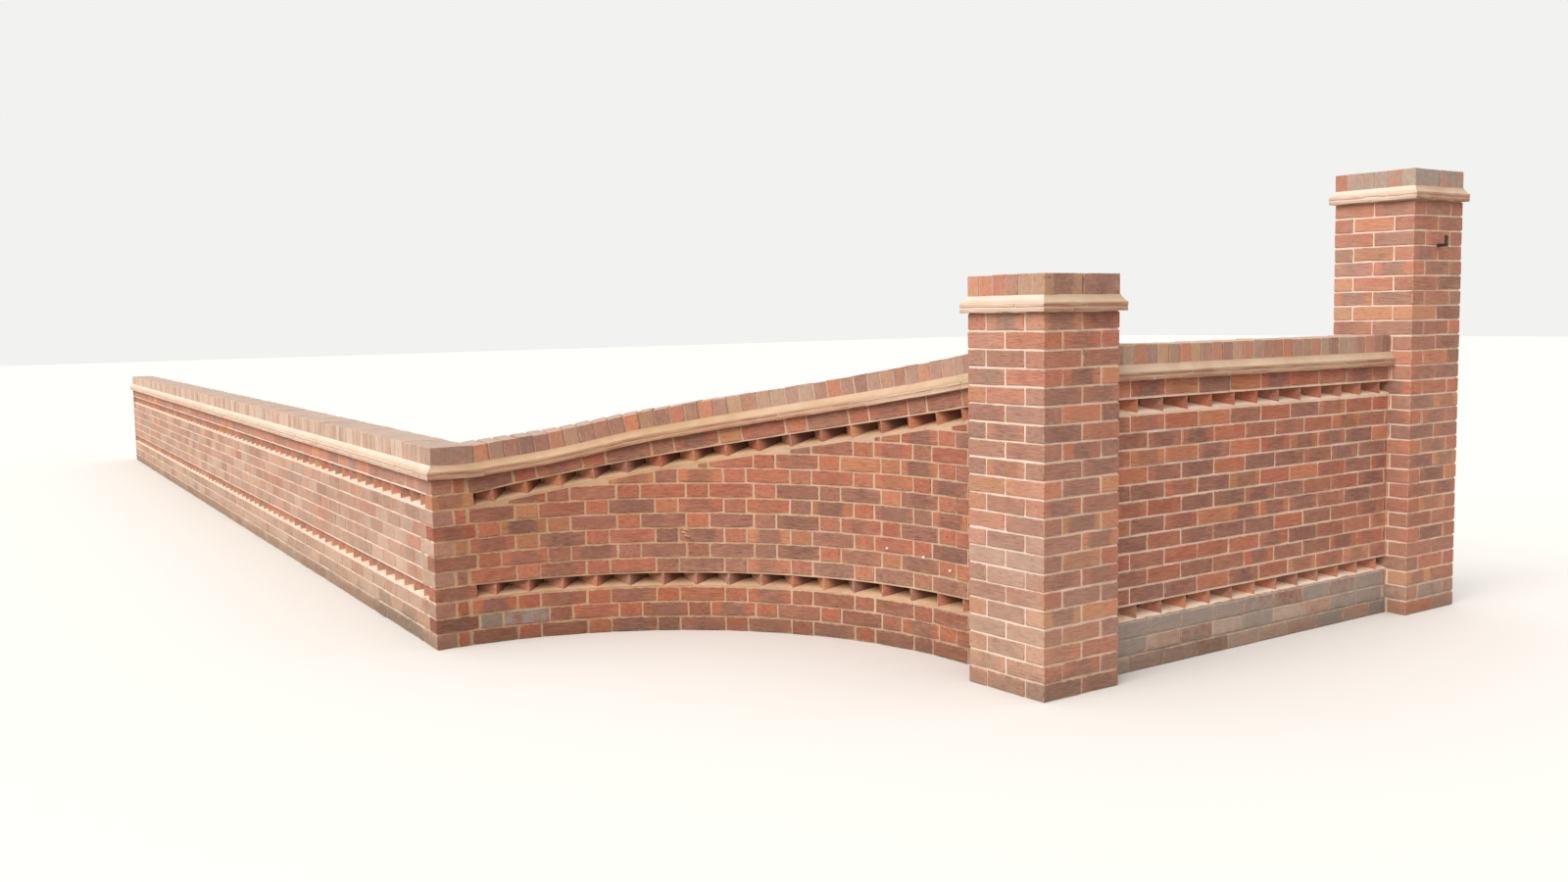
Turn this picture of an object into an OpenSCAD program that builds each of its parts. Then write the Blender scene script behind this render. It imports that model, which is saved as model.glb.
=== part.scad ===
// Brick garden wall: a long street wall, a quarter round ramped wall and a short return wall,
// with two square piers. Two dog-tooth courses of bricks laid cornerwise run along every wall.
// +X runs along the street towards the piers, +Y runs back from the street, +Z is up.
// The origin is the middle of the front pier's foot.

/* [Bricks] */
// Length of a brick, and the thickness of the walls
brick_l = 215; // [200:1:240]
// Height of a brick as laid
brick_h = 65; // [50:1:75]
// Mortar joint between bricks
joint = 10; // [6:0.5:15]
// Width of a brick, and the height of the brick-on-edge coping
brick_w = 102.5; // [95:0.5:115]

/* [Courses] */
// Courses of the street wall up to the tile creasing
street_courses = 11; // [9:1:20]
// Courses that the ramp climbs from the street wall to the return wall
ramp_courses = 6; // [2:1:10]
// Courses of the front pier up to its creasing
front_pier_courses = 21; // [18:1:30]
// Courses of the rear pier up to its creasing
rear_pier_courses = 28; // [20:1:36]
// Plain courses below the lower dog-tooth course
foot_courses = 3; // [2:1:5]

/* [Walls] */
// Length of the street wall from the corner to its far end
street_l = 11475; // [3000:5:14000]
// Turn of the street wall away from square, at the corner
street_turn = 4; // [0:0.5:8]
// Radius of the curved wall's face
curve_r = 1700; // [1200:10:2600]
// Turn of the curved wall past square, where it leaves the corner
curve_turn = 3; // [0:0.5:6]
// Straight stretch of the ramped wall beside the front pier
curve_straight = 300; // [100:5:800]
// Distance of the ramped wall's face behind the pier's front face
curve_setback = 190; // [110:1:220]
// Clear length of the return wall between the two piers
return_l = 2150; // [900:5:4000]

/* [Dog-tooth courses] */
// Spacing of the teeth along the straight walls
tooth_pitch = 168.75; // [155:0.05:190]
// Number of teeth along the curved wall
curve_teeth = 17; // [12:1:24]
// Depth of the hollows between the teeth
tooth_depth = 74; // [50:1:80]

/* [Creasing and coping] */
// Thickness of a creasing tile with the mortar over it
tile_h = 20; // [15:0.5:25]
// Overhang of the tiles past a wall
wall_overhang = 28; // [15:1:60]
// Overhang of the tiles past a pier
pier_overhang = 26; // [15:1:60]
// Height of the sloping mortar fillet under the coping
fillet_h = 10; // [6:1:40]
// Step from the tile's edge to the fillet's edge
fillet_step = 8; // [4:1:25]

/* [Gate hook] */
// Thickness of the hook's bar and pin
hook_d = 16; // [12:1:22]
// Length of the bar in front of the pier
hook_reach = 50; // [35:1:90]
// Height of the hook's upright pin above the bar
hook_pin_h = 42; // [30:1:80]
// Joint of the rear pier that holds the bar, counted down from the creasing
hook_joint = 3; // [2:1:10]

/* [Hidden] */

course = brick_h + joint;
wall_t = brick_l;
pier_w = 2 * brick_l + joint;
return_courses = street_courses + ramp_courses;

// Levels, from the ground up
z_foot = foot_courses * course;
z_tooth = z_foot + course;
z_street = street_courses * course;
z_return = return_courses * course;
rise = ramp_courses * course;

// The curved wall's face as a path from the street corner: an arc, then a straight stretch
head0 = 90 + curve_turn;
arc_l = curve_r * head0 * PI / 180;
path_l = arc_l + curve_straight;
arc_c = [curve_r * sin(head0), -curve_r * cos(head0)];
function path_ang(s) = s < arc_l ? head0 - s / curve_r * 180 / PI : 0;
function path_pt(s) = s < arc_l
  ? arc_c + curve_r * [-sin(path_ang(s)), cos(path_ang(s))]
  : [arc_c[0] + s - arc_l, arc_c[1] + curve_r];

// Place of the street corner, measured from the front pier's middle
corner = -[path_pt(path_l)[0] + pier_w / 2, path_pt(path_l)[1] - curve_setback + pier_w / 2];

// A point behind the face by off at the distance s; the first one lies on the street wall's front
skew = 180 - street_turn - head0;
function path_off(s, off) = s == 0
  ? corner + off / sin(skew) * [-cos(street_turn), sin(street_turn)]
  : corner + path_pt(s) + off * [-sin(path_ang(s)), cos(path_ang(s))];

// Stations along the curved wall: the corner, then every hollow and every tooth
corner_l = brick_l + joint;
half_tooth = (path_l - corner_l) / curve_teeth / 2;
stations = concat([0], [for (i = [0 : 2 * curve_teeth]) corner_l + i * half_tooth]);
function ramp(s) = rise * max(0, s - corner_l) / (path_l - corner_l);

// Back overhang of the curved tiles: none where the street wall joins
function back_over(s, over) = s > corner_l + 1.5 * half_tooth ? over : 0;

// The street wall's own frame: x runs along it and ends at the corner, y runs back
function to_street(p) = [
  (p[0] - corner[0]) * cos(street_turn) - (p[1] - corner[1]) * sin(street_turn),
  (p[0] - corner[0]) * sin(street_turn) + (p[1] - corner[1]) * cos(street_turn)
];
// The corner brick's end shows on the street side, and the first hollow lies beside it
street_first = brick_w + joint;
join0 = to_street(path_off(0, wall_t));
join1 = to_street(path_off(stations[1], wall_t));
join2 = to_street(path_off(stations[2], wall_t));

// Return wall and piers
return_x = pier_w / 2 - (pier_w - wall_t) / 2;
return_y = pier_w / 2;
rear_y = pier_w + return_l;
return_teeth = round(return_l / tooth_pitch);
return_pitch = return_l / return_teeth;

brick_red = [0.62, 0.34, 0.26];
brick_plum = [0.50, 0.31, 0.28];
tile_red = [0.70, 0.40, 0.30];
mortar_buff = [0.78, 0.68, 0.52];
iron_black = [0.12, 0.11, 0.11];

// Solid swept through the stations; each row is one closed section of 3-D points.
// offs gives the side place of each section point, so touching faces split the same way.
module ribbon(rows, offs) {
  n = len(rows);
  m = len(rows[0]);
  pts = [for (r = rows) for (p = r) p];
  sides = [
    for (i = [0 : n - 2]) for (j = [0 : m - 1])
      let (k = (j + 1) % m, a = i * m + j, b = i * m + k, c = a + m, d = b + m)
        each (offs[j] <= offs[k] ? [[a, c, d], [a, d, b]] : [[a, c, b], [b, c, d]])
  ];
  caps = [[for (j = [0 : m - 1]) j], [for (j = [m - 1 : -1 : 0]) (n - 1) * m + j]];
  polyhedron(points = pts, faces = concat(sides, caps), convexity = 8);
}

// Band of the curved wall from z0 to z1, each of which may climb with the ramp
module curve_band(z0, z1, ramp0, ramp1) {
  ribbon([
    for (s = stations) let (r = ramp(s), a = path_off(s, 0), b = path_off(s, wall_t))
      [[a[0], a[1], z0 + ramp0 * r], [b[0], b[1], z0 + ramp0 * r],
       [b[0], b[1], z1 + ramp1 * r], [a[0], a[1], z1 + ramp1 * r]]
  ], [0, 1, 1, 0]);
}

// Section of a dog-tooth course at the distance s, with its hollows on the front and the back
function tooth_row(s, front, back, z0, r) =
  let (a = path_off(s, front), b = path_off(s, wall_t - back))
    [[a[0], a[1], z0 + r], [b[0], b[1], z0 + r],
     [b[0], b[1], z0 + course + r], [a[0], a[1], z0 + course + r]];

// Dog-tooth course of the curved wall: a corner brick, then hollows and teeth in turn.
// The bricks run slantwise through the wall, so each hollow behind lies between two in front.
// The corner brick's end stands half a millimetre out of square, to keep the course one solid.
module curve_dogtooth(z0, climbs) {
  difference() {
    ribbon(concat(
      [for (s = [0, corner_l]) tooth_row(s, 0, 0, z0, 0)],
      [
        for (i = [1 : len(stations) - 1])
          tooth_row(
            i == 1 ? corner_l + 0.5 : stations[i],
            i % 2 == 1 ? tooth_depth : 0,
            i % 2 == 0 && i > 2 ? tooth_depth : 0,
            z0,
            climbs * ramp(stations[i])
          )
      ]
    ), [0, 1, 1, 0]);
    in_street() translate([0, 0, z0 - 1]) linear_extrude(course + 2) polygon([
      [-street_first, -1], [-street_first, tooth_depth], [-street_first - tooth_pitch / 2, 0],
      [-street_first - tooth_pitch, tooth_depth], [-street_first - tooth_pitch, -1]
    ]);
  }
}

// Slab over the curved wall, with places across it for the faces that touch it
module curve_slab(z0, z1, over, under_edges, top_in) {
  ribbon([
    for (s = stations)
      let (
        r = ramp(s),
        o = back_over(s, over),
        t = max(0, o - top_in),
        low = under_edges ? [-over, 0, wall_t, wall_t + o] : [-over, wall_t + o],
        high = under_edges ? [wall_t + o, -over] : [wall_t + o, wall_t + t, -over + top_in, -over]
      )
        [for (q = concat([for (v = low) [v, z0]], [for (v = high) [v, z1]]))
          let (p = path_off(s, q[0])) [p[0], p[1], q[1] + r]]
  ], under_edges ? [0, 1, 2, 3, 3, 0] : [0, 3, 3, 2, 1, 0]);
}

// Moves a shape from the street wall's own frame to its place
module in_street() {
  translate([corner[0], corner[1], 0]) rotate([0, 0, -street_turn]) children();
}

// The room that the curved wall takes up where the street wall joins it
module join_room() {
  far = 3 * wall_t;
  polygon([join0, join1, join2, [join2[0], far], [far, far], [far, 0]]);
}

// Bar of the street wall, cut where the curved wall stands; the plan is a list of points
module street_bar(plan, z0, h) {
  in_street() translate([0, 0, z0]) linear_extrude(h) difference() {
    polygon(plan);
    join_room();
  }
}

street_plan = [[-street_l, 0], [0, 0], [0, wall_t], [-street_l, wall_t]];

// Plan of a slab with an overhang; its front runs on round the corner to meet the curved slab
function street_slab_plan(over) =
  let (
    a = to_street(path_off(0, -over)),
    b = to_street(path_off(stations[1], -over)),
    c = a + (a - b) * over / (b[1] - a[1])
  )
    [[-street_l, -over], c, a, [0, wall_t + over], [-street_l, wall_t + over]];

// Zigzag outline of a dog-tooth course: x from 0 to n pitches, y over the wall's thickness.
// The bricks run slantwise through the wall, so each hollow behind lies between two in front.
function zigzag(n, pitch) = concat(
  [for (i = [0 : n - 1]) each [[i * pitch, tooth_depth], [(i + 0.5) * pitch, 0]]],
  [[n * pitch, tooth_depth], [n * pitch, wall_t]],
  [for (i = [n - 1 : -1 : 0]) each [[(i + 0.5) * pitch, wall_t - tooth_depth], [i * pitch, wall_t]]]
);

module street_dogtooth(z0) {
  n = floor((street_l - street_first) / tooth_pitch);
  in_street() translate([0, 0, z0]) linear_extrude(course) difference() {
    union() {
      translate([-street_first - n * tooth_pitch, 0]) polygon(zigzag(n, tooth_pitch));
      translate([-street_l, 0]) square([street_l - street_first - n * tooth_pitch, wall_t]);
      translate([-street_first, 0]) square([street_first, wall_t]);
    }
    join_room();
  }
}

// Fillet over the street wall's tiles, with a hip at the corner
module street_fillet_solid(z0) {
  over = wall_overhang - fillet_step;
  e = street_slab_plan(over);
  h = fillet_h;
  in_street() translate([0, 0, z0]) difference() {
    polyhedron(
      points = [
        [-street_l, -over, 0], [e[1][0], e[1][1], 0], [e[2][0], e[2][1], 0], [0, wall_t + over, 0],
        [-street_l, wall_t + over, 0], [-street_l, 0, h], [0, 0, h], [0, wall_t, h],
        [-street_l, wall_t, h]
      ],
      faces = [
        [0, 1, 2, 3, 4], [8, 7, 6, 5], [0, 5, 6, 1], [1, 6, 2], [2, 6, 7], [2, 7, 3],
        [3, 7, 8, 4], [4, 8, 5, 0]
      ],
      convexity = 4
    );
    translate([0, 0, -1]) linear_extrude(h + 2) join_room();
  }
}

// Straight bar of the return wall
module return_bar(z0, h, over) {
  translate([return_x - wall_t - over, return_y, z0]) cube([wall_t + 2 * over, return_l, h]);
}

module return_dogtooth(z0) {
  translate([return_x, return_y, z0]) rotate([0, 0, 90]) linear_extrude(course)
    polygon(zigzag(return_teeth, return_pitch));
}

module return_fillet_solid(z0) {
  over = wall_overhang - fillet_step;
  translate([return_x, return_y + return_l, z0]) rotate([90, 0, 0]) linear_extrude(return_l)
    polygon([[-wall_t - over, 0], [over, 0], [0, fillet_h], [-wall_t, fillet_h]]);
}

// Square block on a pier
module pier_block(y, z0, h, over) {
  w = pier_w + 2 * over;
  translate([-w / 2, y - w / 2, z0]) cube([w, w, h]);
}

module pier_fillet_solid(y, z0) {
  a = pier_w / 2 + pier_overhang - fillet_step;
  b = pier_w / 2;
  h = fillet_h;
  translate([0, y, z0]) polyhedron(
    points = [[-a, -a, 0], [a, -a, 0], [a, a, 0], [-a, a, 0], [-b, -b, h], [b, -b, h], [b, b, h], [-b, b, h]],
    faces = [[0, 1, 2, 3], [7, 6, 5, 4], [0, 4, 5, 1], [1, 5, 6, 2], [2, 6, 7, 3], [3, 7, 4, 0]]
  );
}

// Street wall
module street_footing() color(brick_plum) street_bar(street_plan, 0, z_foot);
module street_lower_dogtooth() color(brick_red) street_dogtooth(z_foot);
module street_panel() color(brick_red) street_bar(street_plan, z_tooth, z_street - 2 * course - z_tooth);
module street_upper_dogtooth() color(brick_red) street_dogtooth(z_street - 2 * course);
module street_head_course() color(brick_red) street_bar(street_plan, z_street - course, course);
module street_lower_tiles() color(tile_red) street_bar(street_slab_plan(wall_overhang), z_street, tile_h);
module street_upper_tiles()
  color(tile_red) street_bar(street_slab_plan(wall_overhang), z_street + tile_h, tile_h);
module street_fillet() color(mortar_buff) street_fillet_solid(z_street + 2 * tile_h);
module street_coping() color(brick_red) street_bar(street_plan, z_street + 2 * tile_h + fillet_h, brick_w);

// Curved wall
module curve_footing() color(brick_plum) curve_band(0, z_foot, 0, 0);
module curve_lower_dogtooth() color(brick_red) curve_dogtooth(z_foot, 0);
module curve_panel() color(brick_red) curve_band(z_tooth, z_street - 2 * course, 0, 1);
module curve_upper_dogtooth() color(brick_red) curve_dogtooth(z_street - 2 * course, 1);
module curve_head_course() color(brick_red) curve_band(z_street - course, z_street, 1, 1);
module curve_lower_tiles()
  color(tile_red) curve_slab(z_street, z_street + tile_h, wall_overhang, true, 0);
module curve_upper_tiles()
  color(tile_red) curve_slab(z_street + tile_h, z_street + 2 * tile_h, wall_overhang, false, fillet_step);
module curve_fillet() {
  over = wall_overhang - fillet_step;
  z0 = z_street + 2 * tile_h;
  color(mortar_buff) ribbon([
    for (s = stations)
      let (r = ramp(s), o = max(0, back_over(s, wall_overhang) - fillet_step))
        [for (q = [[-over, 0], [wall_t + o, 0], [wall_t, fillet_h], [0, fillet_h]])
          let (p = path_off(s, q[0])) [p[0], p[1], z0 + q[1] + r]]
  ], [0, 3, 2, 1]);
}
module curve_coping() {
  z0 = z_street + 2 * tile_h + fillet_h;
  color(brick_red) curve_band(z0, z0 + brick_w, 1, 1);
}

// Return wall
module return_footing() color(brick_plum) return_bar(0, z_foot, 0);
module return_lower_dogtooth() color(brick_red) return_dogtooth(z_foot);
module return_panel() color(brick_red) return_bar(z_tooth, z_return - 2 * course - z_tooth, 0);
module return_upper_dogtooth() color(brick_red) return_dogtooth(z_return - 2 * course);
module return_head_course() color(brick_red) return_bar(z_return - course, course, 0);
module return_lower_tiles() color(tile_red) return_bar(z_return, tile_h, wall_overhang);
module return_upper_tiles() color(tile_red) return_bar(z_return + tile_h, tile_h, wall_overhang);
module return_fillet() color(mortar_buff) return_fillet_solid(z_return + 2 * tile_h);
module return_coping() color(brick_red) return_bar(z_return + 2 * tile_h + fillet_h, brick_w, 0);

// Front pier
z_front = front_pier_courses * course;
module front_pier_shaft() color(brick_red) pier_block(0, 0, z_front, 0);
module front_pier_lower_tiles() color(tile_red) pier_block(0, z_front, tile_h, pier_overhang);
module front_pier_upper_tiles() color(tile_red) pier_block(0, z_front + tile_h, tile_h, pier_overhang);
module front_pier_fillet() color(mortar_buff) pier_fillet_solid(0, z_front + 2 * tile_h);
module front_pier_cap() color(brick_red) pier_block(0, z_front + 2 * tile_h + fillet_h, brick_w, 0);

// Rear pier
z_rear = rear_pier_courses * course;
module rear_pier_shaft() color(brick_red) pier_block(rear_y, 0, z_rear, 0);
module rear_pier_lower_tiles() color(tile_red) pier_block(rear_y, z_rear, tile_h, pier_overhang);
module rear_pier_upper_tiles() color(tile_red) pier_block(rear_y, z_rear + tile_h, tile_h, pier_overhang);
module rear_pier_fillet() color(mortar_buff) pier_fillet_solid(rear_y, z_rear + 2 * tile_h);
module rear_pier_cap() color(brick_plum) pier_block(rear_y, z_rear + 2 * tile_h + fillet_h, brick_w, 0);

// Iron hook for a gate, driven into a joint of the rear pier: a square bar and a round pin
module gate_hook() {
  z = z_rear - hook_joint * course;
  color(iron_black) translate([pier_w / 2, rear_y, z]) {
    translate([0, -hook_d / 2, -hook_d / 2]) cube([hook_reach, hook_d, hook_d]);
    translate([hook_reach - hook_d / 2, 0, 0]) cylinder(d = hook_d, h = hook_d / 2 + hook_pin_h, $fn = 48);
  }
}

street_footing();
street_lower_dogtooth();
street_panel();
street_upper_dogtooth();
street_head_course();
street_lower_tiles();
street_upper_tiles();
street_fillet();
street_coping();
curve_footing();
curve_lower_dogtooth();
curve_panel();
curve_upper_dogtooth();
curve_head_course();
curve_lower_tiles();
curve_upper_tiles();
curve_fillet();
curve_coping();
return_footing();
return_lower_dogtooth();
return_panel();
return_upper_dogtooth();
return_head_course();
return_lower_tiles();
return_upper_tiles();
return_fillet();
return_coping();
front_pier_shaft();
front_pier_lower_tiles();
front_pier_upper_tiles();
front_pier_fillet();
front_pier_cap();
rear_pier_shaft();
rear_pier_lower_tiles();
rear_pier_upper_tiles();
rear_pier_fillet();
rear_pier_cap();
gate_hook();
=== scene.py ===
# %% [markdown]
# # A brick garden wall, brick by brick
# The wall has four parts: a long street wall, a quarter-round wall that climbs, a short return wall
# and two square piers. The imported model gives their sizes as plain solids. This lesson lays real
# bricks, tiles and mortar in the place of those solids, and leaves the solids to the physics.

# %% Load the frame
import math
import random

import bmesh
import bpy
from mathutils import Matrix, Vector, noise


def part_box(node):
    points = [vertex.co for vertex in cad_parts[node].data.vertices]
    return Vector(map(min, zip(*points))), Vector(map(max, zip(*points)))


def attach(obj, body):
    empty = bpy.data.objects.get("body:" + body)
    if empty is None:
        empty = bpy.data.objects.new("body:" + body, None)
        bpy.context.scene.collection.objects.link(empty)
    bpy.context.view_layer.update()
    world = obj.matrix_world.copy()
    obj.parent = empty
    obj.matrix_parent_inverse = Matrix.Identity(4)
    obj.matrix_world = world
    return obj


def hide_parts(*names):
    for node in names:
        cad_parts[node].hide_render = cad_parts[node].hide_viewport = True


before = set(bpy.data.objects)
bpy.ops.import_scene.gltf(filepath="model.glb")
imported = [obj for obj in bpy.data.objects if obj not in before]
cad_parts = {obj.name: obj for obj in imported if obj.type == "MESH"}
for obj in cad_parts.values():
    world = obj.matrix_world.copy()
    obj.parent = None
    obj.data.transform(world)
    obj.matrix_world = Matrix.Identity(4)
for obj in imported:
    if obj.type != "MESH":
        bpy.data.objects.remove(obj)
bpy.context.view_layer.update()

# %% [markdown]
# ## Sizes
# A bricklayer counts in courses: a 65 mm brick and a 10 mm joint make 75 mm. Every level of the wall
# is a whole number of courses, so one brick's size fixes nearly everything else. Courses are counted
# from the ground: the fourth one is a dog-tooth course, and so is the one below each head course.
# Blender works in metres, so the sizes are written in metres here.

# %% Brick sizes and levels
BRICK_L, BRICK_W, BRICK_H, JOINT = 0.215, 0.1025, 0.065, 0.010
COURSE = BRICK_H + JOINT
PIER = 2 * BRICK_L + JOINT
WALL_MID = BRICK_L / 2
CREASING, BED = 0.040, 0.010
LOW_TEETH, STREET_HEAD, RETURN_HEAD, FRONT_COURSES, REAR_COURSES = 4, 11, 17, 21, 28
FOOT_TOP = (LOW_TEETH - 1) * COURSE
STREET_TOP, RETURN_TOP = STREET_HEAD * COURSE, RETURN_HEAD * COURSE
FRONT_TOP, REAR_TOP = FRONT_COURSES * COURSE, REAR_COURSES * COURSE
HOOK_Z = REAR_TOP - 3 * COURSE
RETURN_L = 2.150
REAR_Y = PIER + RETURN_L
packed_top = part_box("rear_pier_shaft")[1][2]
print("the rear pier's brickwork is", round(REAR_TOP, 4), "m high;", round(packed_top, 4), "m in the frame")

# %% [markdown]
# ## Three runs of wall
# Each wall follows a line on the ground: the foot of its front face. A run is a function that takes
# the distance u along that line and returns the point there and the direction of the line. With it,
# one way of laying bricks serves the straight walls and the curved one alike. The curved wall turns
# through 93 degrees, ends in a short straight stretch, and meets the front pier 190 mm behind its face.

# %% Lines that the walls follow
CURVE_R, CURVE_START, CURVE_STRAIGHT, SETBACK = 1.700, math.radians(93), 0.300, 0.190
ARC_L = CURVE_R * CURVE_START
PATH_L = ARC_L + CURVE_STRAIGHT
STREET_L, STREET_TURN = 11.475, math.radians(-4)


def curve_path(u):
    """Point and direction of the curved wall's face, measured from the street corner."""
    arc = min(u, ARC_L)
    heading = CURVE_START - arc / CURVE_R
    x = CURVE_R * (math.sin(CURVE_START) - math.sin(heading)) + u - arc
    y = CURVE_R * (math.cos(heading) - math.cos(CURVE_START))
    return Vector((x, y)), heading


CORNER = -(curve_path(PATH_L)[0] + Vector((PIER / 2, PIER / 2 - SETBACK)))


def curve_run(u):
    """The curved wall's face, from the street corner to the front pier."""
    point, heading = curve_path(u)
    return CORNER + point, heading


def street_run(u):
    """The street wall's face; u is less than zero on the wall, which runs away from the corner."""
    return CORNER + u * Vector((math.cos(STREET_TURN), math.sin(STREET_TURN))), STREET_TURN


def return_run(u):
    """The return wall's face, from the front pier to the rear one."""
    return Vector((WALL_MID, PIER / 2 + u)), math.pi / 2


print("street corner at", [round(v, 3) for v in CORNER], "curved wall", round(PATH_L, 3), "m long")

# %% [markdown]
# ## The ramp
# Past the corner brick, the curved wall climbs six courses on one even slope. The creasing and coping
# start a little late and catch up, because the bricklayer eased them by eye into the level street
# wall. `place_at` turns a spot on a run into a frame whose x axis runs along the wall and its slope.

# %% Heights along the ramp
RAMP_FROM = BRICK_L + JOINT
RISE = (RETURN_HEAD - STREET_HEAD) * COURSE
EASE_FROM, EASE_L, EASE_DROP = 0.15, 0.95, 0.016
PROBE = 0.02


def level(u):
    """No climb, for the straight walls."""
    return 0.0


def ramp(u):
    """The even climb of the curved wall."""
    return RISE * max(0.0, u - RAMP_FROM) / (PATH_L - RAMP_FROM)


def eased_ramp(u):
    """The same climb, a little late at its start."""
    late = min(max((u - EASE_FROM) / EASE_L, 0.0), 1.0)
    return ramp(u) - EASE_DROP * math.sin(math.pi * late) ** 2


def slope_of(climb, u):
    """The angle of a climb at u, read off a short way to both sides."""
    return math.atan2(climb(u + PROBE) - climb(u - PROBE), 2 * PROBE)


def place_at(run, u, v, z, climb=level):
    """A frame at distance u along the run, v into the wall from its face, at height z plus the climb."""
    point, heading = run(u)
    back = Vector((-math.sin(heading), math.cos(heading)))
    spot = Matrix.Translation((*(point + v * back), z + climb(u)))
    return spot @ Matrix.Rotation(heading, 4, "Z") @ Matrix.Rotation(-slope_of(climb, u), 4, "Y")


print("the ramp climbs", round(RISE, 3), "m at", round(math.degrees(slope_of(ramp, 1.0)), 1), "degrees")

# %% [markdown]
# ## The camera
# The photograph was taken at eye height from across the drive. Its place and lens were worked out from
# the course lines of the two piers, which meet at known heights. The lens is a little wide.

# %% Camera
EYE = Vector((4.1680, -4.2610, 1.5845))
YAW, PITCH, ROLL = math.radians(144.8538), math.radians(5.1751), math.radians(0.9427)
SENSOR_W, FOCAL_PIXELS, PICTURE_PIXELS = 36.0, 1433.836, 1600
ahead = Vector((math.cos(YAW) * math.cos(PITCH), math.sin(YAW) * math.cos(PITCH), -math.sin(PITCH)))
level_right = Vector((math.sin(YAW), -math.cos(YAW), 0.0))
level_down = ahead.cross(level_right)
right = level_right * math.cos(ROLL) + level_down * math.sin(ROLL)
down = level_down * math.cos(ROLL) - level_right * math.sin(ROLL)

lens = bpy.data.cameras.new("camera")
lens.sensor_width, lens.lens = SENSOR_W, SENSOR_W * FOCAL_PIXELS / PICTURE_PIXELS
lens.clip_end = 100.0
camera = bpy.data.objects.new("camera", lens)
bpy.context.scene.collection.objects.link(camera)
camera.matrix_world = Matrix.Translation(EYE) @ Matrix((right, -down, -ahead)).transposed().to_4x4()
bpy.context.scene.camera = camera
print("lens", round(lens.lens, 1), "mm at", [round(v, 2) for v in EYE])

# %% [markdown]
# ## Nodes and colours
# Materials are built from nodes. One small function adds a node, sets its properties and fills its
# sockets: a socket takes a plain value or another node's output. Colours are written as the hex values
# that a paint program shows, and are turned to the linear values that the renderer wants.


# %% Helpers for materials
def colour(hex_value):
    """An sRGB hex colour as linear red, green, blue and full opacity."""
    parts = [int(hex_value[i : i + 2], 16) / 255 for i in (1, 3, 5)]
    return (*(c / 12.92 if c <= 0.04045 else ((c + 0.055) / 1.055) ** 2.4 for c in parts), 1.0)


def add(tree, kind, inputs=None, **settings):
    """Adds one node with its settings; inputs maps a socket to a value or to an output socket."""
    node = tree.nodes.new("ShaderNode" + kind)
    for name, value in settings.items():
        setattr(node, name, value)
    for name, value in (inputs or {}).items():
        if isinstance(value, bpy.types.NodeSocket):
            tree.links.new(value, node.inputs[name])
        else:
            node.inputs[name].default_value = value
    return node


def blank_material(name):
    """An empty material and its node tree."""
    material = bpy.data.materials.new(name)
    material.use_nodes = True
    material.node_tree.nodes.clear()
    return material, material.node_tree


print("brick red is", [round(c, 3) for c in colour("#B5664E")])

# %% [markdown]
# ## Patterns
# A few steps come back in every finish: a noise read at a size in millimetres, a soft threshold that
# turns it into patches, a mix of two colours by such a patch, and a step of arithmetic. Rain and dust
# come from one side, so one more function finds the faces that look a given way. Each of them is a line
# or two of `add`, and the matt shader at the end is the same for brick, tile and mortar.


# %% Patterns at real sizes
TO_STREET, TO_GATE, UP = (0.0, -1.0, 0.0), (1.0, 0.0, 0.0), (0.0, 0.0, 1.0)


def speckle(tree, where, millimetres, detail=3.0, rough=0.6, stretch=(1, 1, 1)):
    """Noise whose blotches are about that many millimetres across, drawn out along an axis."""
    scaled = add(tree, "VectorMath", {0: where, 1: [1 / s for s in stretch]}, operation="MULTIPLY")
    settings = {"Vector": scaled.outputs[0], "Scale": 1000 / millimetres, "Detail": detail}
    return add(tree, "TexNoise", {**settings, "Roughness": rough}).outputs[0]


def patches(tree, value, start, end, low=0.0, high=1.0):
    """Maps a value to low before start and high after end, smoothly."""
    span = {"Value": value, "From Min": start, "From Max": end, "To Min": low, "To Max": high}
    return add(tree, "MapRange", span, interpolation_type="SMOOTHSTEP").outputs[0]


def blend(tree, amount, first, second):
    """Mixes two colours by an amount from 0 to 1."""
    mix = add(tree, "Mix", {0: amount, 6: first, 7: second}, data_type="RGBA", clamp_factor=True)
    return mix.outputs[2]


def maths(tree, kind, first, second, clamp=False):
    """One step of arithmetic on two values."""
    return add(tree, "Math", {0: first, 1: second}, operation=kind, use_clamp=clamp).outputs[0]


def facing(tree, direction, start=0.55, end=0.95):
    """1 on faces that look that way, fading to 0 on faces that look elsewhere."""
    normal = add(tree, "TexCoord").outputs["Normal"]
    turned = add(tree, "VectorMath", {0: normal, 1: direction}, operation="DOT_PRODUCT").outputs["Value"]
    return patches(tree, turned, start, end)


def matt_surface(tree, body, relief, depth, roughness, gloss=0.25):
    """A matt shader with that colour and a relief that many metres deep."""
    bump = add(tree, "Bump", {"Strength": 0.8, "Distance": depth, "Height": relief})
    look = {"Base Color": body, "Roughness": roughness, "Specular IOR Level": gloss}
    shader = add(tree, "BsdfPrincipled", {**look, "Normal": bump.outputs[0]})
    add(tree, "OutputMaterial", {"Surface": shader.outputs[0]})


print("faces are told apart by the directions", TO_STREET, TO_GATE, "and", UP)

# %% [markdown]
# ## The clay of a brick
# These bricks were stacked in the kiln, so the middle of many faces flashed to a plum brown, while
# their ends stayed red or orange. That is why the headers in this wall are its reddest bricks.
#
# Each brick brings its own numbers from the mesh. `tone` is its kiln colour, brightness and flash, and
# `age` how much grey crust, moss and lime bloom it carries. `local` is the place on the brick, `half`
# its half size, and `seed` shifts the patterns so that no two bricks match.


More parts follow.
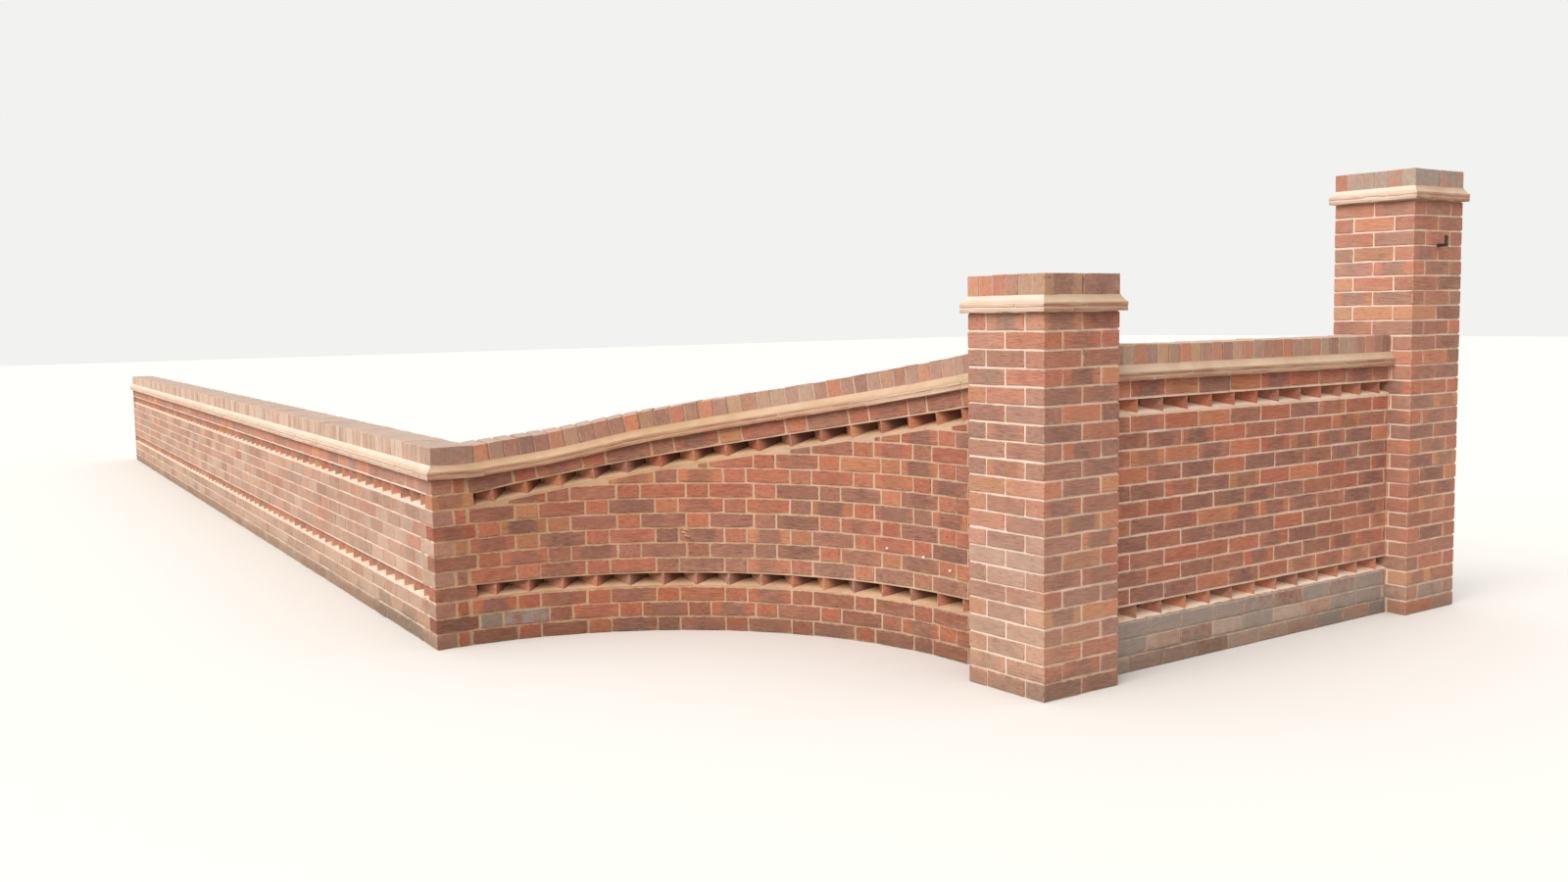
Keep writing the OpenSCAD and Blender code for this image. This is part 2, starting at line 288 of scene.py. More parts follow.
# %% Finish: the clay of one brick
def clay_body(tree, grain, local, half, own, kiln):
    """Kiln colour, flashed plum in the middle of a face, with clouds of lighter and darker clay."""
    fired = add(tree, "ValToRGB", {"Fac": own[0]})
    stops = fired.color_ramp.elements
    while len(stops) < len(kiln):
        stops.new(0.5)
    for i, hex_value in enumerate(kiln):
        stops[i].position = i / (len(kiln) - 1)
        stops[i].color = colour(hex_value)
    apart = add(tree, "VectorMath", {0: local}, operation="ABSOLUTE").outputs[0]
    share = add(tree, "VectorMath", {0: apart, 1: half}, operation="DIVIDE").outputs[0]
    along = add(tree, "SeparateXYZ", {0: share}).outputs[0]
    drift = maths(tree, "MULTIPLY", speckle(tree, grain, 70, 3.0, 0.6, (1.0, 1.0, 1.6)), 1.1)
    flashed = patches(tree, maths(tree, "ADD", along, drift), 0.95, 1.35, 1.0, 0.0)
    body = blend(tree, maths(tree, "MULTIPLY", flashed, own[2]), fired.outputs[0], colour("#8A6053"))
    cloudy = patches(tree, speckle(tree, grain, 42, 4.0, 0.65, (1.6, 1.2, 1.0)), 0.34, 0.70)
    body = blend(tree, maths(tree, "MULTIPLY", cloudy, 0.24), body, colour("#CF9070"))
    burnt = patches(tree, speckle(tree, grain, 18, 4.0, 0.7, (2.5, 1.2, 0.6)), 0.56, 0.72, 0.0, 0.55)
    body = blend(tree, maths(tree, "MULTIPLY", burnt, own[2]), body, colour("#5C4038"))
    return add(tree, "HueSaturation", {"Value": own[1], "Color": body}).outputs[0]


print("clay colours run from plum to orange")

# %% [markdown]
# ## The skin of a brick
# The faces are dragged: a wire pulled along the clay leaves short creases and tears out crumbs, so
# there are small ragged holes. Noise that is squeezed in height gives the creases. For the holes, a cell
# pattern sets their places, and only a share of the cells carries one.


# %% Finish: torn crumbs and arrises
def torn_crumbs(tree, grain, pits):
    """Small ragged holes: cells of about 12 mm, of which only a share carries one."""
    cells = add(tree, "VectorMath", {0: grain, 1: (0.55, 0.75, 1.5)}, operation="MULTIPLY").outputs[0]
    ragged = speckle(tree, grain, 7, 2.0)
    holes = add(tree, "TexVoronoi", {"Vector": cells, "Scale": 85.0})
    rarity = add(tree, "SeparateColor", {0: holes.outputs["Color"]}).outputs[0]
    edge = maths(tree, "ADD", holes.outputs["Distance"], maths(tree, "SUBTRACT", ragged, 0.45))
    chosen = patches(tree, rarity, 1 - pits, 1 - pits * 0.7)
    return maths(tree, "MULTIPLY", patches(tree, edge, 0.10, 0.26, 1.0, 0.0), chosen)


def near_arris(tree, local, half, wander):
    """Where mortar was dragged over an arris: the middle one of the distances to the three sides."""
    apart = add(tree, "VectorMath", {0: local}, operation="ABSOLUTE").outputs[0]
    inside = add(tree, "VectorMath", {0: half, 1: apart}, operation="SUBTRACT").outputs[0]
    side = add(tree, "SeparateXYZ", {0: inside}).outputs
    lower = maths(tree, "MINIMUM", side[0], side[1])
    upper = maths(tree, "MAXIMUM", side[0], side[1])
    middle = maths(tree, "MAXIMUM", lower, maths(tree, "MINIMUM", upper, side[2]))
    reach = maths(tree, "MULTIPLY", maths(tree, "SUBTRACT", wander, 0.47), 0.016)
    return patches(tree, maths(tree, "SUBTRACT", middle, reach), 0.0, 0.0022, 0.50, 0.0)


print("crumbs and arrises")

# %% [markdown]
# ## Age
# Walls weather from outside, so these stains ignore the single brick and read the place on the wall:
# a grey crust, moss, lime bloom in clouds, soil splashed up from the ground, and the damp of the course
# that stands in the soil. How strong the first three are is each brick's own number. The bloom is
# thickest on the faces that look at the street, which is why the street side is the palest.


# %% Finish: weather on a brick
def weathered(tree, body, site, worn, wander, damp, splashed):
    """Adds crust, moss, bloom, splashes and damp to a brick's colour."""
    crust = maths(tree, "ADD", speckle(tree, site, 55, 4.0, 0.7), worn[0])
    body = blend(tree, patches(tree, crust, 0.85, 1.25, 0.0, 0.85), body, colour("#A0968D"))
    film = maths(tree, "ADD", speckle(tree, site, 38, 4.0, 0.7), worn[1])
    body = blend(tree, patches(tree, film, 0.85, 1.20, 0.0, 0.80), body, colour("#7E8674"))
    cloud = patches(tree, speckle(tree, site, 330, 5.0, 0.65), 0.32, 0.68, 0.72, 1.28)
    outside = maths(tree, "ADD", maths(tree, "MULTIPLY", facing(tree, TO_STREET), 0.60), 0.40)
    bloom = maths(tree, "MULTIPLY", maths(tree, "MULTIPLY", worn[2], cloud), outside, clamp=True)
    body = blend(tree, bloom, body, colour("#DEC3AE"))
    height = add(tree, "SeparateXYZ", {0: site}).outputs[2]
    low = patches(tree, height, 0.10, 0.55, splashed, 0.0)
    splash = maths(tree, "MULTIPLY", maths(tree, "MULTIPLY", low, outside), patches(tree, wander, 0.3, 0.6))
    body = blend(tree, splash, body, colour("#CFAE92"))
    edge = maths(tree, "SUBTRACT", height, maths(tree, "MULTIPLY", speckle(tree, site, 160), 0.14))
    return blend(tree, patches(tree, edge, -0.04, 0.05, damp, 0.0), body, colour("#64503F"))


print("weather is ready")

# %% [markdown]
# ## Rust below the hook
# Rain has washed rust from the gate hook down the rear pier. The run is a narrow stripe on the face
# that the hook stands on. Soft thresholds end it at its sides, above the hook and some way below, and
# the noise that makes other stains wander makes its edges wander too.


# %% Finish: the run below the hook
RUN_L, RUN_EDGE = 0.085, 0.015


def rust_run(tree, body, site, wander):
    """The brown run that the gate hook leaves on the brickwork below it."""
    spot = add(tree, "SeparateXYZ", {0: site}).outputs
    aside = maths(tree, "ABSOLUTE", maths(tree, "SUBTRACT", spot[1], REAR_Y), 0.0)
    aside = maths(tree, "SUBTRACT", aside, maths(tree, "MULTIPLY", wander, 0.012))
    run = maths(tree, "MULTIPLY", patches(tree, aside, -0.002, 0.006, 1.0, 0.0), facing(tree, TO_GATE))
    run = maths(tree, "MULTIPLY", run, patches(tree, spot[2], HOOK_Z - RUN_L, HOOK_Z - RUN_EDGE))
    run = maths(tree, "MULTIPLY", run, patches(tree, spot[2], HOOK_Z, HOOK_Z + RUN_EDGE, 0.8, 0.0))
    return blend(tree, run, body, colour("#7C4A30"))


print("the run ends", RUN_L, "m below the hook")

# %% [markdown]
# ## A whole brick
# Here the clay, its torn skin and its age come together, one coat over the other: first the fired clay,
# then creases and crumbs, darkened as painted shade, and sand, then the weather, the mortar that was
# dragged over the arrises, and last rust, soot and painted shade deep in a hollow, where a brick has
# them. The creases, crumbs and sand also drive the relief, so that a crease painted dark is a groove too.


# %% Finish: dragged wire-cut brick
def dragged_brick(name, kiln, pits, damp, creased=0.28, splashed=0.40, soot=0.0, hollow=0.0, stained=False):
    """A torn, creased brick with painted shade in its creases and holes; soot greys its upper faces, and
    hollow paints shade deep in the wall.
    """
    material, tree = blank_material(name)
    tone, age, local, half, seed = (
        add(tree, "Attribute", attribute_name=key) for key in ("tone", "age", "local", "half", "seed")
    )
    local, half = local.outputs["Vector"], half.outputs["Vector"]
    spread = add(tree, "VectorMath", {0: (17.3, 5.1, 9.7), "Scale": seed.outputs["Fac"]}, operation="SCALE")
    grain = add(tree, "VectorMath", {0: local, 1: spread.outputs[0]}, operation="ADD").outputs[0]
    own = add(tree, "SeparateXYZ", {0: tone.outputs["Vector"]}).outputs
    worn = add(tree, "SeparateXYZ", {0: age.outputs["Vector"]}).outputs
    site = add(tree, "TexCoord").outputs["Object"]
    crease = speckle(tree, grain, 34, 4.0, 0.7, (1.6, 0.7, 0.10))
    lines = patches(tree, crease, 0.53, 0.66)
    hole = torn_crumbs(tree, grain, pits)
    sand = speckle(tree, grain, 2.4, 2.0, 0.7)
    wander = speckle(tree, grain, 26, 3.0, 0.6)
    body = clay_body(tree, grain, local, half, own, kiln)
    # painted shade: the creases are darkened as if shade lay in their grooves
    body = blend(tree, maths(tree, "MULTIPLY", lines, creased), body, colour("#6A443A"))
    body = blend(tree, patches(tree, crease, 0.30, 0.50, 0.35, 0.0), body, colour("#D8A283"))
    # painted shade: the torn holes are darkened nearly to black, as the shade inside them
    body = blend(tree, maths(tree, "MULTIPLY", hole, 0.85), body, colour("#3E2823"))
    body = blend(tree, patches(tree, sand, 0.58, 0.76, 0.0, 0.30), body, colour("#E2B99C"))
    body = blend(tree, patches(tree, sand, 0.30, 0.42, 0.28, 0.0), body, colour("#6B4438"))
    body = weathered(tree, body, site, worn, wander, damp, splashed)
    body = blend(tree, near_arris(tree, local, half, wander), body, colour("#DABB9C"))
    if stained:
        body = rust_run(tree, body, site, wander)
    if soot:
        film = maths(tree, "MULTIPLY", facing(tree, UP), patches(tree, wander, 0.2, 0.6, 0.6, 1.0))
        body = blend(tree, maths(tree, "MULTIPLY", film, soot), body, colour("#B0A093"))
    # painted shade: the middle of a slanting brick, which lies deep in the wall, is darkened as if in the
    # hollow's shade
    if hollow:
        apart = add(tree, "VectorMath", {0: local, 1: half}, operation="DIVIDE").outputs[0]
        depth = maths(tree, "ABSOLUTE", add(tree, "SeparateXYZ", {0: apart}).outputs[0], 0.0)
        body = blend(tree, patches(tree, depth, 0.30, 0.92, hollow, 0.0), body, colour("#4A2E26"))
    dents = maths(tree, "ADD", maths(tree, "MULTIPLY", lines, -0.5), maths(tree, "MULTIPLY", hole, -1.0))
    relief = maths(tree, "ADD", dents, maths(tree, "MULTIPLY", sand, 0.35))
    matt_surface(tree, body, relief, 0.0022, 0.93)
    return material


print("the brick finish is ready")

# %% [markdown]
# ## The kinds of brick
# The facing bricks are new and clean. The slanting bricks of the dog-tooth courses are the same, with
# painted shade deep in the hollows. The courses at the foot are older, browner bricks, or redder ones
# under the curve, where nothing has splashed them. The bricks on edge in the copings are the most torn,
# because rain and frost reach them from above, and their tops have gone grey. All of them are one
# finish with other colours and other amounts.

# %% Six kinds of brick
KILN = ["#9A6A5C", "#A06C5A", "#A96E5A", "#B27058", "#BA6C54", "#C06E54", "#C67A58", "#C88A62"]
RED_KILN = ["#96604F", "#9E624C", "#A8664E", "#B0674C", "#B66448", "#BA684A", "#C0724E"]
OLD_KILN = ["#8A665A", "#946658", "#A06A58", "#A86C58", "#B06A54", "#A8765C", "#B87A58", "#A06E54"]
EDGE_KILN = ["#866458", "#966658", "#A87060", "#9A7862", "#B8684E", "#C4724C", "#A6886C", "#BE8C66"]
MAT_FACING = dragged_brick("dragged_facing_brick", KILN, pits=0.10, damp=0.35)
MAT_STAINED = dragged_brick("rust_stained_brick", KILN, pits=0.10, damp=0.35, stained=True)
MAT_TOOTH = dragged_brick("dragged_dogtooth_brick", KILN, pits=0.06, damp=0.0, hollow=0.70)
MAT_RED_FOOT = dragged_brick("red_foot_brick", RED_KILN, pits=0.10, damp=0.35, splashed=0.06)
MAT_FOOT = dragged_brick("weathered_foot_brick", OLD_KILN, pits=0.20, damp=0.40)
MAT_EDGE = dragged_brick("pitted_brick_on_edge", EDGE_KILN, pits=0.34, damp=0.0, creased=0.14, soot=0.85)
print("six kinds of brick, from", MAT_FACING.name, "to", MAT_EDGE.name)

# %% [markdown]
# ## Mortar
# The mortar is sand and cement struck nearly flush with a trowel, so it is gritty and a little uneven.
# It dried pale in the straight walls and piers and more buff in the curved one. Fillets were rubbed
# smooth, the foot of the return wall still has its old grey mortar, and the joints of the coping have
# taken on the colour of the bricks beside them, so they hardly show. Lime has come out on all of it
# where it looks at the street.


# %% Finish: struck mortar
def struck_mortar(name, light, dark, coarse=1.0, lime=0.66, damp=0.35):
    """Gritty mortar with trowel strokes; a coarse of less than 1 is a mortar that was rubbed smooth."""
    material, tree = blank_material(name)
    site = add(tree, "TexCoord").outputs["Object"]
    grit = speckle(tree, site, 2.6, 3.0, 0.75)
    strokes = speckle(tree, site, 26, 4.0, 0.6, (2.5, 2.5, 0.6))
    body = blend(tree, patches(tree, speckle(tree, site, 240), 0.35, 0.65), colour(light), colour(dark))
    body = blend(tree, patches(tree, strokes, 0.50, 0.72, 0.0, 0.32 * coarse), body, colour("#B98F74"))
    body = blend(tree, patches(tree, grit, 0.60, 0.74, 0.0, 0.35 * coarse), body, colour("#F4E3CC"))
    body = blend(tree, patches(tree, grit, 0.30, 0.42, 0.32 * coarse, 0.0), body, colour("#967862"))
    limed = maths(tree, "MULTIPLY", facing(tree, TO_STREET), lime)
    body = blend(tree, limed, body, colour("#F9E8D9"))
    height = add(tree, "SeparateXYZ", {0: site}).outputs[2]
    low = maths(tree, "SUBTRACT", height, maths(tree, "MULTIPLY", speckle(tree, site, 130), 0.14))
    body = blend(tree, patches(tree, low, -0.04, 0.05, damp, 0.0), body, colour("#8A7460"))
    relief = maths(tree, "ADD", maths(tree, "MULTIPLY", strokes, 0.8), maths(tree, "MULTIPLY", grit, 0.4))
    matt_surface(tree, body, relief, 0.0022 * coarse, 0.95, 0.2)
    return material


MAT_MORTAR = struck_mortar("struck_pale_mortar", "#F3DAC3", "#E8CBB0")
MAT_BUFF = struck_mortar("struck_buff_mortar", "#D0AC88", "#C09A76", lime=0.20)
MAT_BED = struck_mortar("smoothed_pale_mortar", "#C8AE94", "#BA9E84", coarse=0.35)
MAT_RAMP = struck_mortar("smoothed_buff_mortar", "#C6A788", "#B89776", coarse=0.35, lime=0.15)
MAT_OLD = struck_mortar("old_grey_mortar", "#BCAD9C", "#A69686")
MAT_LIME = struck_mortar("spots_of_lime", "#F2EBDD", "#E8DECB", coarse=0.5)
MAT_JOINT = struck_mortar("weathered_coping_mortar", "#B8947E", "#9E7A66", coarse=0.7, lime=0.30)
print("seven kinds of mortar, from", MAT_MORTAR.name, "to", MAT_JOINT.name)

# %% [markdown]
# ## Creasing tile
# The creasing tiles are plain clay tiles. Only their edges show, and mortar was wiped along them in
# places. A noise drawn out along the wall and flat in height gives that wiped look. On the street side
# lime has come out over them as well, so there they are nearly as pale as the mortar.


# %% Finish: clay tile smeared with mortar
def smeared_tile(name):
    """Plain clay, wiped with mortar along its edge, and limed where it looks at the street."""
    material, tree = blank_material(name)
    tone = add(tree, "Attribute", attribute_name="tone").outputs["Vector"]
    own = add(tree, "SeparateXYZ", {0: tone}).outputs
    site = add(tree, "TexCoord").outputs["Object"]
    clay = blend(tree, own[0], colour("#B67C62"), colour("#A26A54"))
    smear = patches(tree, speckle(tree, site, 90, 2.0, 0.5, (2.5, 2.5, 0.5)), 0.36, 0.70, 0.10, 0.62)
    body = blend(tree, smear, clay, colour("#D6AE8C"))
    limed = maths(tree, "MULTIPLY", facing(tree, TO_STREET, 0.90, 0.99), 0.60)
    body = blend(tree, limed, body, colour("#EDD3BA"))
    grit = speckle(tree, site, 2.6, 3.0, 0.7)
    body = blend(tree, patches(tree, grit, 0.32, 0.44, 0.22, 0.0), body, colour("#84604C"))
    matt_surface(tree, body, maths(tree, "ADD", smear, grit), 0.0007, 0.88, 0.3)
    return material


MAT_TILE = smeared_tile("clay_creasing_tile")
print("tile finish", MAT_TILE.name)

# %% [markdown]
# ## Iron
# The gate hook is wrought iron that was painted black. Rust has come through the paint in spots, and
# rust is rougher than paint, so one noise drives the colour, the roughness and the relief together.


# %% Finish: painted iron with rust
def rusted_paint(name):
    """Black paint that rust has come through in spots."""
    material, tree = blank_material(name)
    site = add(tree, "TexCoord").outputs["Object"]
    spots = patches(tree, speckle(tree, site, 9, 5.0, 0.7), 0.46, 0.60)
    body = blend(tree, spots, colour("#211D1B"), colour("#5E3624"))
    matt_surface(tree, body, spots, 0.0006, patches(tree, spots, 0.0, 1.0, 0.45, 0.85), 0.5)
    return material


MAT_IRON = rusted_paint("painted_iron")
print("iron finish", MAT_IRON.name)

# %% [markdown]
# ## Laying bricks
# A brick starts as a cube scaled to its size. Laid bricks are never quite true, so each one is nudged
# by a millimetre and turned by a fraction of a degree. A brick that has to be cut is sliced with a
# plane. When a piece has all its bricks, they are worn, and all their sharp edges are bevelled in one go.
# That gives a slightly crooked brick of about forty faces, and thousands of them stay quick to render.


# %% Cutting a brick, making a piece
def each_once(items):
    """The items without repeats, in the order in which they come, so that every run cuts alike."""
    return list(dict.fromkeys(items))


def cut_off(bm, verts, point, normal):
    """Cuts away what lies past a plane, closes the cut, and returns the vertices that are left."""
    edges = each_once(e for v in verts for e in v.link_edges)
    faces = each_once(f for v in verts for f in v.link_faces)
    plane = dict(plane_co=point, plane_no=normal, clear_outer=True, dist=1e-5)
    cut = bmesh.ops.bisect_plane(bm, geom=verts + edges + faces, **plane)["geom_cut"]
    rim = [e for e in cut if isinstance(e, bmesh.types.BMEdge)]
    if len(rim) > 2:
        bmesh.ops.contextual_create(bm, geom=rim)
    left = [v for v in verts if v.is_valid]
    return each_once(left + [v for v in cut if isinstance(v, bmesh.types.BMVert)])


TRIANGLES = {}


def make_piece(name, bm, material, nodes=()):
    """Turns a bmesh into a piece that rides with the wall and stands for its solids."""
    bmesh.ops.recalc_face_normals(bm, faces=bm.faces)
    mesh = bpy.data.meshes.new(name)
    bm.to_mesh(mesh)
    bm.free()
    mesh.materials.append(material)
    piece = bpy.data.objects.new(name, mesh)
    bpy.context.scene.collection.objects.link(piece)
    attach(piece, "root")
    if nodes:
        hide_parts(*nodes)
    TRIANGLES[name] = sum(len(p.vertices) - 2 for p in mesh.polygons)
    print(name, "has", TRIANGLES[name], "triangles")


# %% [markdown]
# ## Worn bricks
# A clean cube looks like a toy brick. Cutting the long edges in three and moving every corner by under
# a millimetre takes the straightness out of it, and here and there a corner loses a chip. A chip moves
# the corner towards the middle of its own brick, and `back` is the matrix that finds that middle.


# %% Wearing the bricks
JITTER, CHIP, LONG_EDGE = 0.0008, (0.0008, 0.0020), 0.15


def wear(bm, laid, number, dice, chips):
    """Cuts the long edges in three and moves every corner a little; some lose a chip."""
    long_edges = [e for e in bm.edges if e.calc_length() > LONG_EDGE]
    bmesh.ops.subdivide_edges(bm, edges=long_edges, cuts=2, use_grid_fill=True)
    for vert in bm.verts:
        back = laid[round(vert[number])]["back"]
        inward = Vector([-math.copysign(dice.uniform(0.3, 1.0), part) for part in back @ vert.co])
        lost = dice.uniform(*CHIP) if dice.random() < chips else 0.0
        jitter = Vector([dice.uniform(-JITTER, JITTER) for _ in range(3)])
        vert.co += jitter + back.to_3x3().inverted() @ inward * lost


print("corners move by", JITTER * 1000, "mm, and a chip takes up to", CHIP[1] * 1000, "mm")

# %% [markdown]
# ## Numbers for the finish
# The finish can't see where one brick ends and the next begins, so the mesh has to tell it. Every vertex
# carries its brick's numbers as attributes, under the names that the finish reads.


# %% Numbers on the vertices
def write_numbers(bm, laid):
    """Gives every vertex its brick's tone, age, half size and seed, and its own place on the brick."""
    layers = bm.verts.layers
    vectors = {key: layers.float_vector.new(key) for key in ("tone", "age", "half", "local")}
    seed, number = layers.float.new("seed"), layers.float["number"]
    for vert in bm.verts:
        brick = laid[round(vert[number])]
        for key in ("tone", "age", "half"):
            vert[vectors[key]] = brick[key]
        vert[vectors["local"]] = brick["back"] @ vert.co
        vert[seed] = brick["seed"]


print("each corner of a brick carries five attributes")

# %% [markdown]
# ## A piece of brickwork
# This small class holds the mesh of one piece while its bricks are laid, and remembers for each brick
# where it is and what it is like. It rolls its own dice, so a change to one piece leaves the others as
# they are. When all bricks are laid, it wears them, bevels them and makes the object.


# %% Brickwork: one mesh of many bricks
NUDGE, TURN, SHARP, ARRIS = 0.0010, 0.3, 0.5, 0.0020
AGE_SPREAD, FLASHES = (0.62, 1.30), (0.0, 0.25, 0.55, 0.85)


class Brickwork:
    """Collects the bricks of one piece, each with its own tone and its own place for the patterns."""

    def __init__(self, name, seed, age=(0, 0, 0), crooked=1.0, bright=(0.86, 1.08)):
        self.name, self.bm, self.laid, self.dice = name, bmesh.new(), [], random.Random(seed)
        self.age, self.crooked, self.bright = Vector(age), crooked, bright
        self.number = self.bm.verts.layers.float.new("number")

    def pick_tone(self, header):
        """Kiln colour from plum to orange, brightness, and how far the middle is flashed."""
        kiln = self.dice.random() ** (0.75 if header else 1.1)
        return (kiln, self.dice.uniform(*self.bright), self.dice.choice(FLASHES))

    def lay(self, place, size, tone=None, age=None, clips=(), header=False):
        """One brick with its middle at place; each clip is a point and an outward direction."""
        dice, lean = self.dice, self.crooked
        nudge = Vector([dice.uniform(-NUDGE, NUDGE) * lean for _ in range(3)])
        turns = [Matrix.Rotation(math.radians(dice.uniform(-TURN, TURN) * lean), 4, axis) for axis in "ZY"]
        place = place @ Matrix.Translation(nudge) @ turns[0] @ turns[1]
        made = bmesh.ops.create_cube(self.bm, size=1.0, matrix=place @ Matrix.Diagonal((*size, 1.0)))
        verts = made["verts"]
        for vert in verts:
            vert[self.number] = float(len(self.laid))
        for point, normal in clips:
            verts = cut_off(self.bm, verts, point, normal)
        own_age = Vector(age) if age else self.age
        brick = {
            "back": place.inverted(),
            "half": Vector(size) / 2,
            "tone": Vector(tone or self.pick_tone(header)),
            "age": own_age * dice.uniform(*AGE_SPREAD),
            "seed": dice.random(),
        }
        self.laid.append(brick)

    def finish(self, material, slot, nodes=(), arris=ARRIS, chips=0.08):
        """Wears the bricks, bevels their arrises, and makes the object."""
        wear(self.bm, self.laid, self.number, self.dice, chips)
        sharp = [e for e in self.bm.edges if len(e.link_faces) == 2 and e.calc_face_angle(0.0) > SHARP]
        flat = dict(segments=1, profile=0.5, affect="EDGES", material=-1, clamp_overlap=False)
        bmesh.ops.bevel(self.bm, geom=sharp, offset=arris, offset_type="OFFSET", **flat)
        write_numbers(self.bm, self.laid)
        make_piece(self.name, self.bm, material, nodes)


print("ready to lay bricks of", BRICK_L, "x", BRICK_W, "x", BRICK_H, "m")

# %% [markdown]
# ## Mortar and other long shapes
# Mortar beds, fillets and the core of the wall all have one cross-section that is drawn along a run.
# A flat grid does that neatly: its columns become stations along the wall, its rows become the points
# of the cross-section, and the two long edges meet and are merged into a tube, which is then capped.
# The noise that roughens it starts from a fixed seed, so that every run makes the same mortar.


# %% Drawing a cross-section along a run
ROUGH, WAVES = 0.0012, 38.0
noise.seed_set(5)


def in_full(height):
    """Every height takes the whole climb."""
    return 1.0


def draw_along(
    bm, run, start, end, section, step=0.05, climb=level, share=in_full, rough=ROUGH, waves=WAVES, clips=()
):
    """Sweeps a section of (depth, height) points; share is how much of the climb a height takes."""
    count, sides = max(2, math.ceil((end - start) / step)), len(section)
    middle = Vector((sum(p[0] for p in section), sum(p[1] for p in section))) / sides
    grid = bmesh.ops.create_grid(bm, x_segments=count, y_segments=sides, size=0.5)["verts"]
    for vert in grid:
        u = start + (end - start) * round((vert.co.x + 0.5) * count) / count
        depth, height = section[round((vert.co.y + 0.5) * sides) % sides]
        lift = climb(u) * share(height)
        spot = place_at(run, u, depth, height + lift).translation
        out = (Vector((depth, height)) - middle).normalized() * noise.noise(spot * waves) * rough
        vert.co = place_at(run, u, depth + out.x, height + lift + out.y).translation
    bmesh.ops.remove_doubles(bm, verts=grid, dist=1e-6)
    left = [v for v in grid if v.is_valid]
    rims = [e for e in each_once(e for v in left for e in v.link_edges) if e.is_boundary]
    bmesh.ops.holes_fill(bm, edges=rims, sides=sides + 2)
    for point, normal in clips:
        left = cut_off(bm, left, point, normal)


print("mortar is roughened by up to", ROUGH * 1000, "mm")

# %% [markdown]
# ## Two shapes of mortar
# The commonest section is a plain box. Its upright sides are cut into rows, because noise can only
# roughen a face that has corners to move. The mortar of a pier doesn't run along anything, so it is a
# block instead, cut into small squares and roughened in the same way.


# %% Box sections and rough blocks
def box_section(v0, v1, z0, z1, rows=1):
    """A rectangle as a section, with its two upright sides cut into rows."""
    ups = [z0 + (z1 - z0) * i / rows for i in range(rows + 1)]
    return [(v0, z) for z in reversed(ups)] + [(v1, z) for z in ups]


def rough_block(bm, low, high, cuts, rough=ROUGH):
    """A block of mortar between two corners, cut into small squares, roughened and added to a mesh."""
    size = Vector(high) - Vector(low)
    place = Matrix.Translation(Vector(low) + size / 2) @ Matrix.Diagonal((*size, 1.0))
    block = bmesh.new()
    bmesh.ops.create_cube(block, size=1.0, matrix=place)
    for axis, count in enumerate(cuts):
        lines = [e for e in block.edges if abs((e.verts[0].co - e.verts[1].co)[axis]) > size[axis] / 2]
        bmesh.ops.subdivide_edges(block, edges=lines, cuts=count, use_grid_fill=True)
    for vert in block.verts:
        vert.co += noise.noise_vector(vert.co * WAVES) * rough
    spare = bpy.data.meshes.new("spare")
    block.to_mesh(spare)
    block.free()
    bm.from_mesh(spare)
    bpy.data.meshes.remove(spare)


print("a box section has", len(box_section(0, 1, 0, 1, 4)), "points")

# %% [markdown]
# ## Planes that trim bricks
# Where two walls meet, or a wall meets a pier, the bricklayer cuts the last brick. A plane is a point
# and the direction in which everything goes. These are the faces of the street corner, the ends of the
# runs, and the slope under the climbing courses.

# %% Cutting planes
CORNER_3D = Vector((*CORNER, 0.0))
PANEL_ROOF = STREET_TOP - 2 * COURSE
ROOF_JOINT, PIER_JOINT, REAR_JOINT = 0.006, 0.004, 0.006


def outward(heading):
    """The direction that a wall with that heading faces."""
    return Vector((math.sin(heading), -math.cos(heading), 0.0))


def pushed(plane, distance):
    """The same plane, moved outward."""
    return plane[0] + plane[1] * distance, plane[1]


STREET_FACE = (CORNER_3D, outward(STREET_TURN))
CURVE_FACE = (CORNER_3D, outward(CURVE_START))
CHORD_FACE = (CORNER_3D, outward(CURVE_START - WALL_MID / CURVE_R))
STREET_END = (street_run(-STREET_L)[0].to_3d(), outward(STREET_TURN - math.pi / 2))
PIER_LEFT = (Vector((-PIER / 2 - PIER_JOINT, 0, 0)), Vector((1, 0, 0)))
REAR_FRONT = (Vector((0, REAR_Y - PIER / 2 - REAR_JOINT, 0)), Vector((0, 1, 0)))


def under_slope(u):
    """The plane that lies below the climbing dog-tooth course at u."""
    place = place_at(curve_run, u, 0.0, PANEL_ROOF - ROOF_JOINT, ramp)
    return place.translation, place.to_3x3() @ Vector((0, 0, 1))


print("the street's far end faces", [round(v, 2) for v in STREET_END[1]])

# %% [markdown]
# ## How bricks lie
# In a level or sloping course a stretcher shows its long side. A header is the same brick turned, so
# its own long axis points into the wall. A dog-tooth brick is turned by 45 degrees: one arris stands on
# the wall's face, the opposite one on its back, and triangular hollows are left between the bricks.
# Its length follows from that: length plus width, at 45 degrees, is the thickness of the wall. The
# spacing is three quarters of a stretcher. Bricks are drawn a millimetre fuller than they are, because
# the bevel and the wear take that off again.

# %% Stretchers, headers and teeth
FAT_H, FAT_L, THROUGH = BRICK_H + 0.0012, 0.0014, BRICK_L - 0.001
TOOTH_L = BRICK_L * math.sqrt(2) - BRICK_W - 0.002
TOOTH_PITCH = 0.75 * (BRICK_L + JOINT)
TOOTH_DEPTH, TOOTH_ARRIS = 0.003, 0.0035


def course_z(course_no):
    """The middle of a course, counted from the ground."""
    return COURSE * course_no - COURSE / 2


def lay_header(work, run, u, z, width, depth, climb=level, **look):
    """A brick that shows its end: it is turned so that its length points into the wall."""
    place = place_at(run, u, depth, z, climb) @ Matrix.Rotation(math.pi / 2, 4, "Z")
    work.lay(place, (BRICK_W, width, FAT_H), header=True, **look)


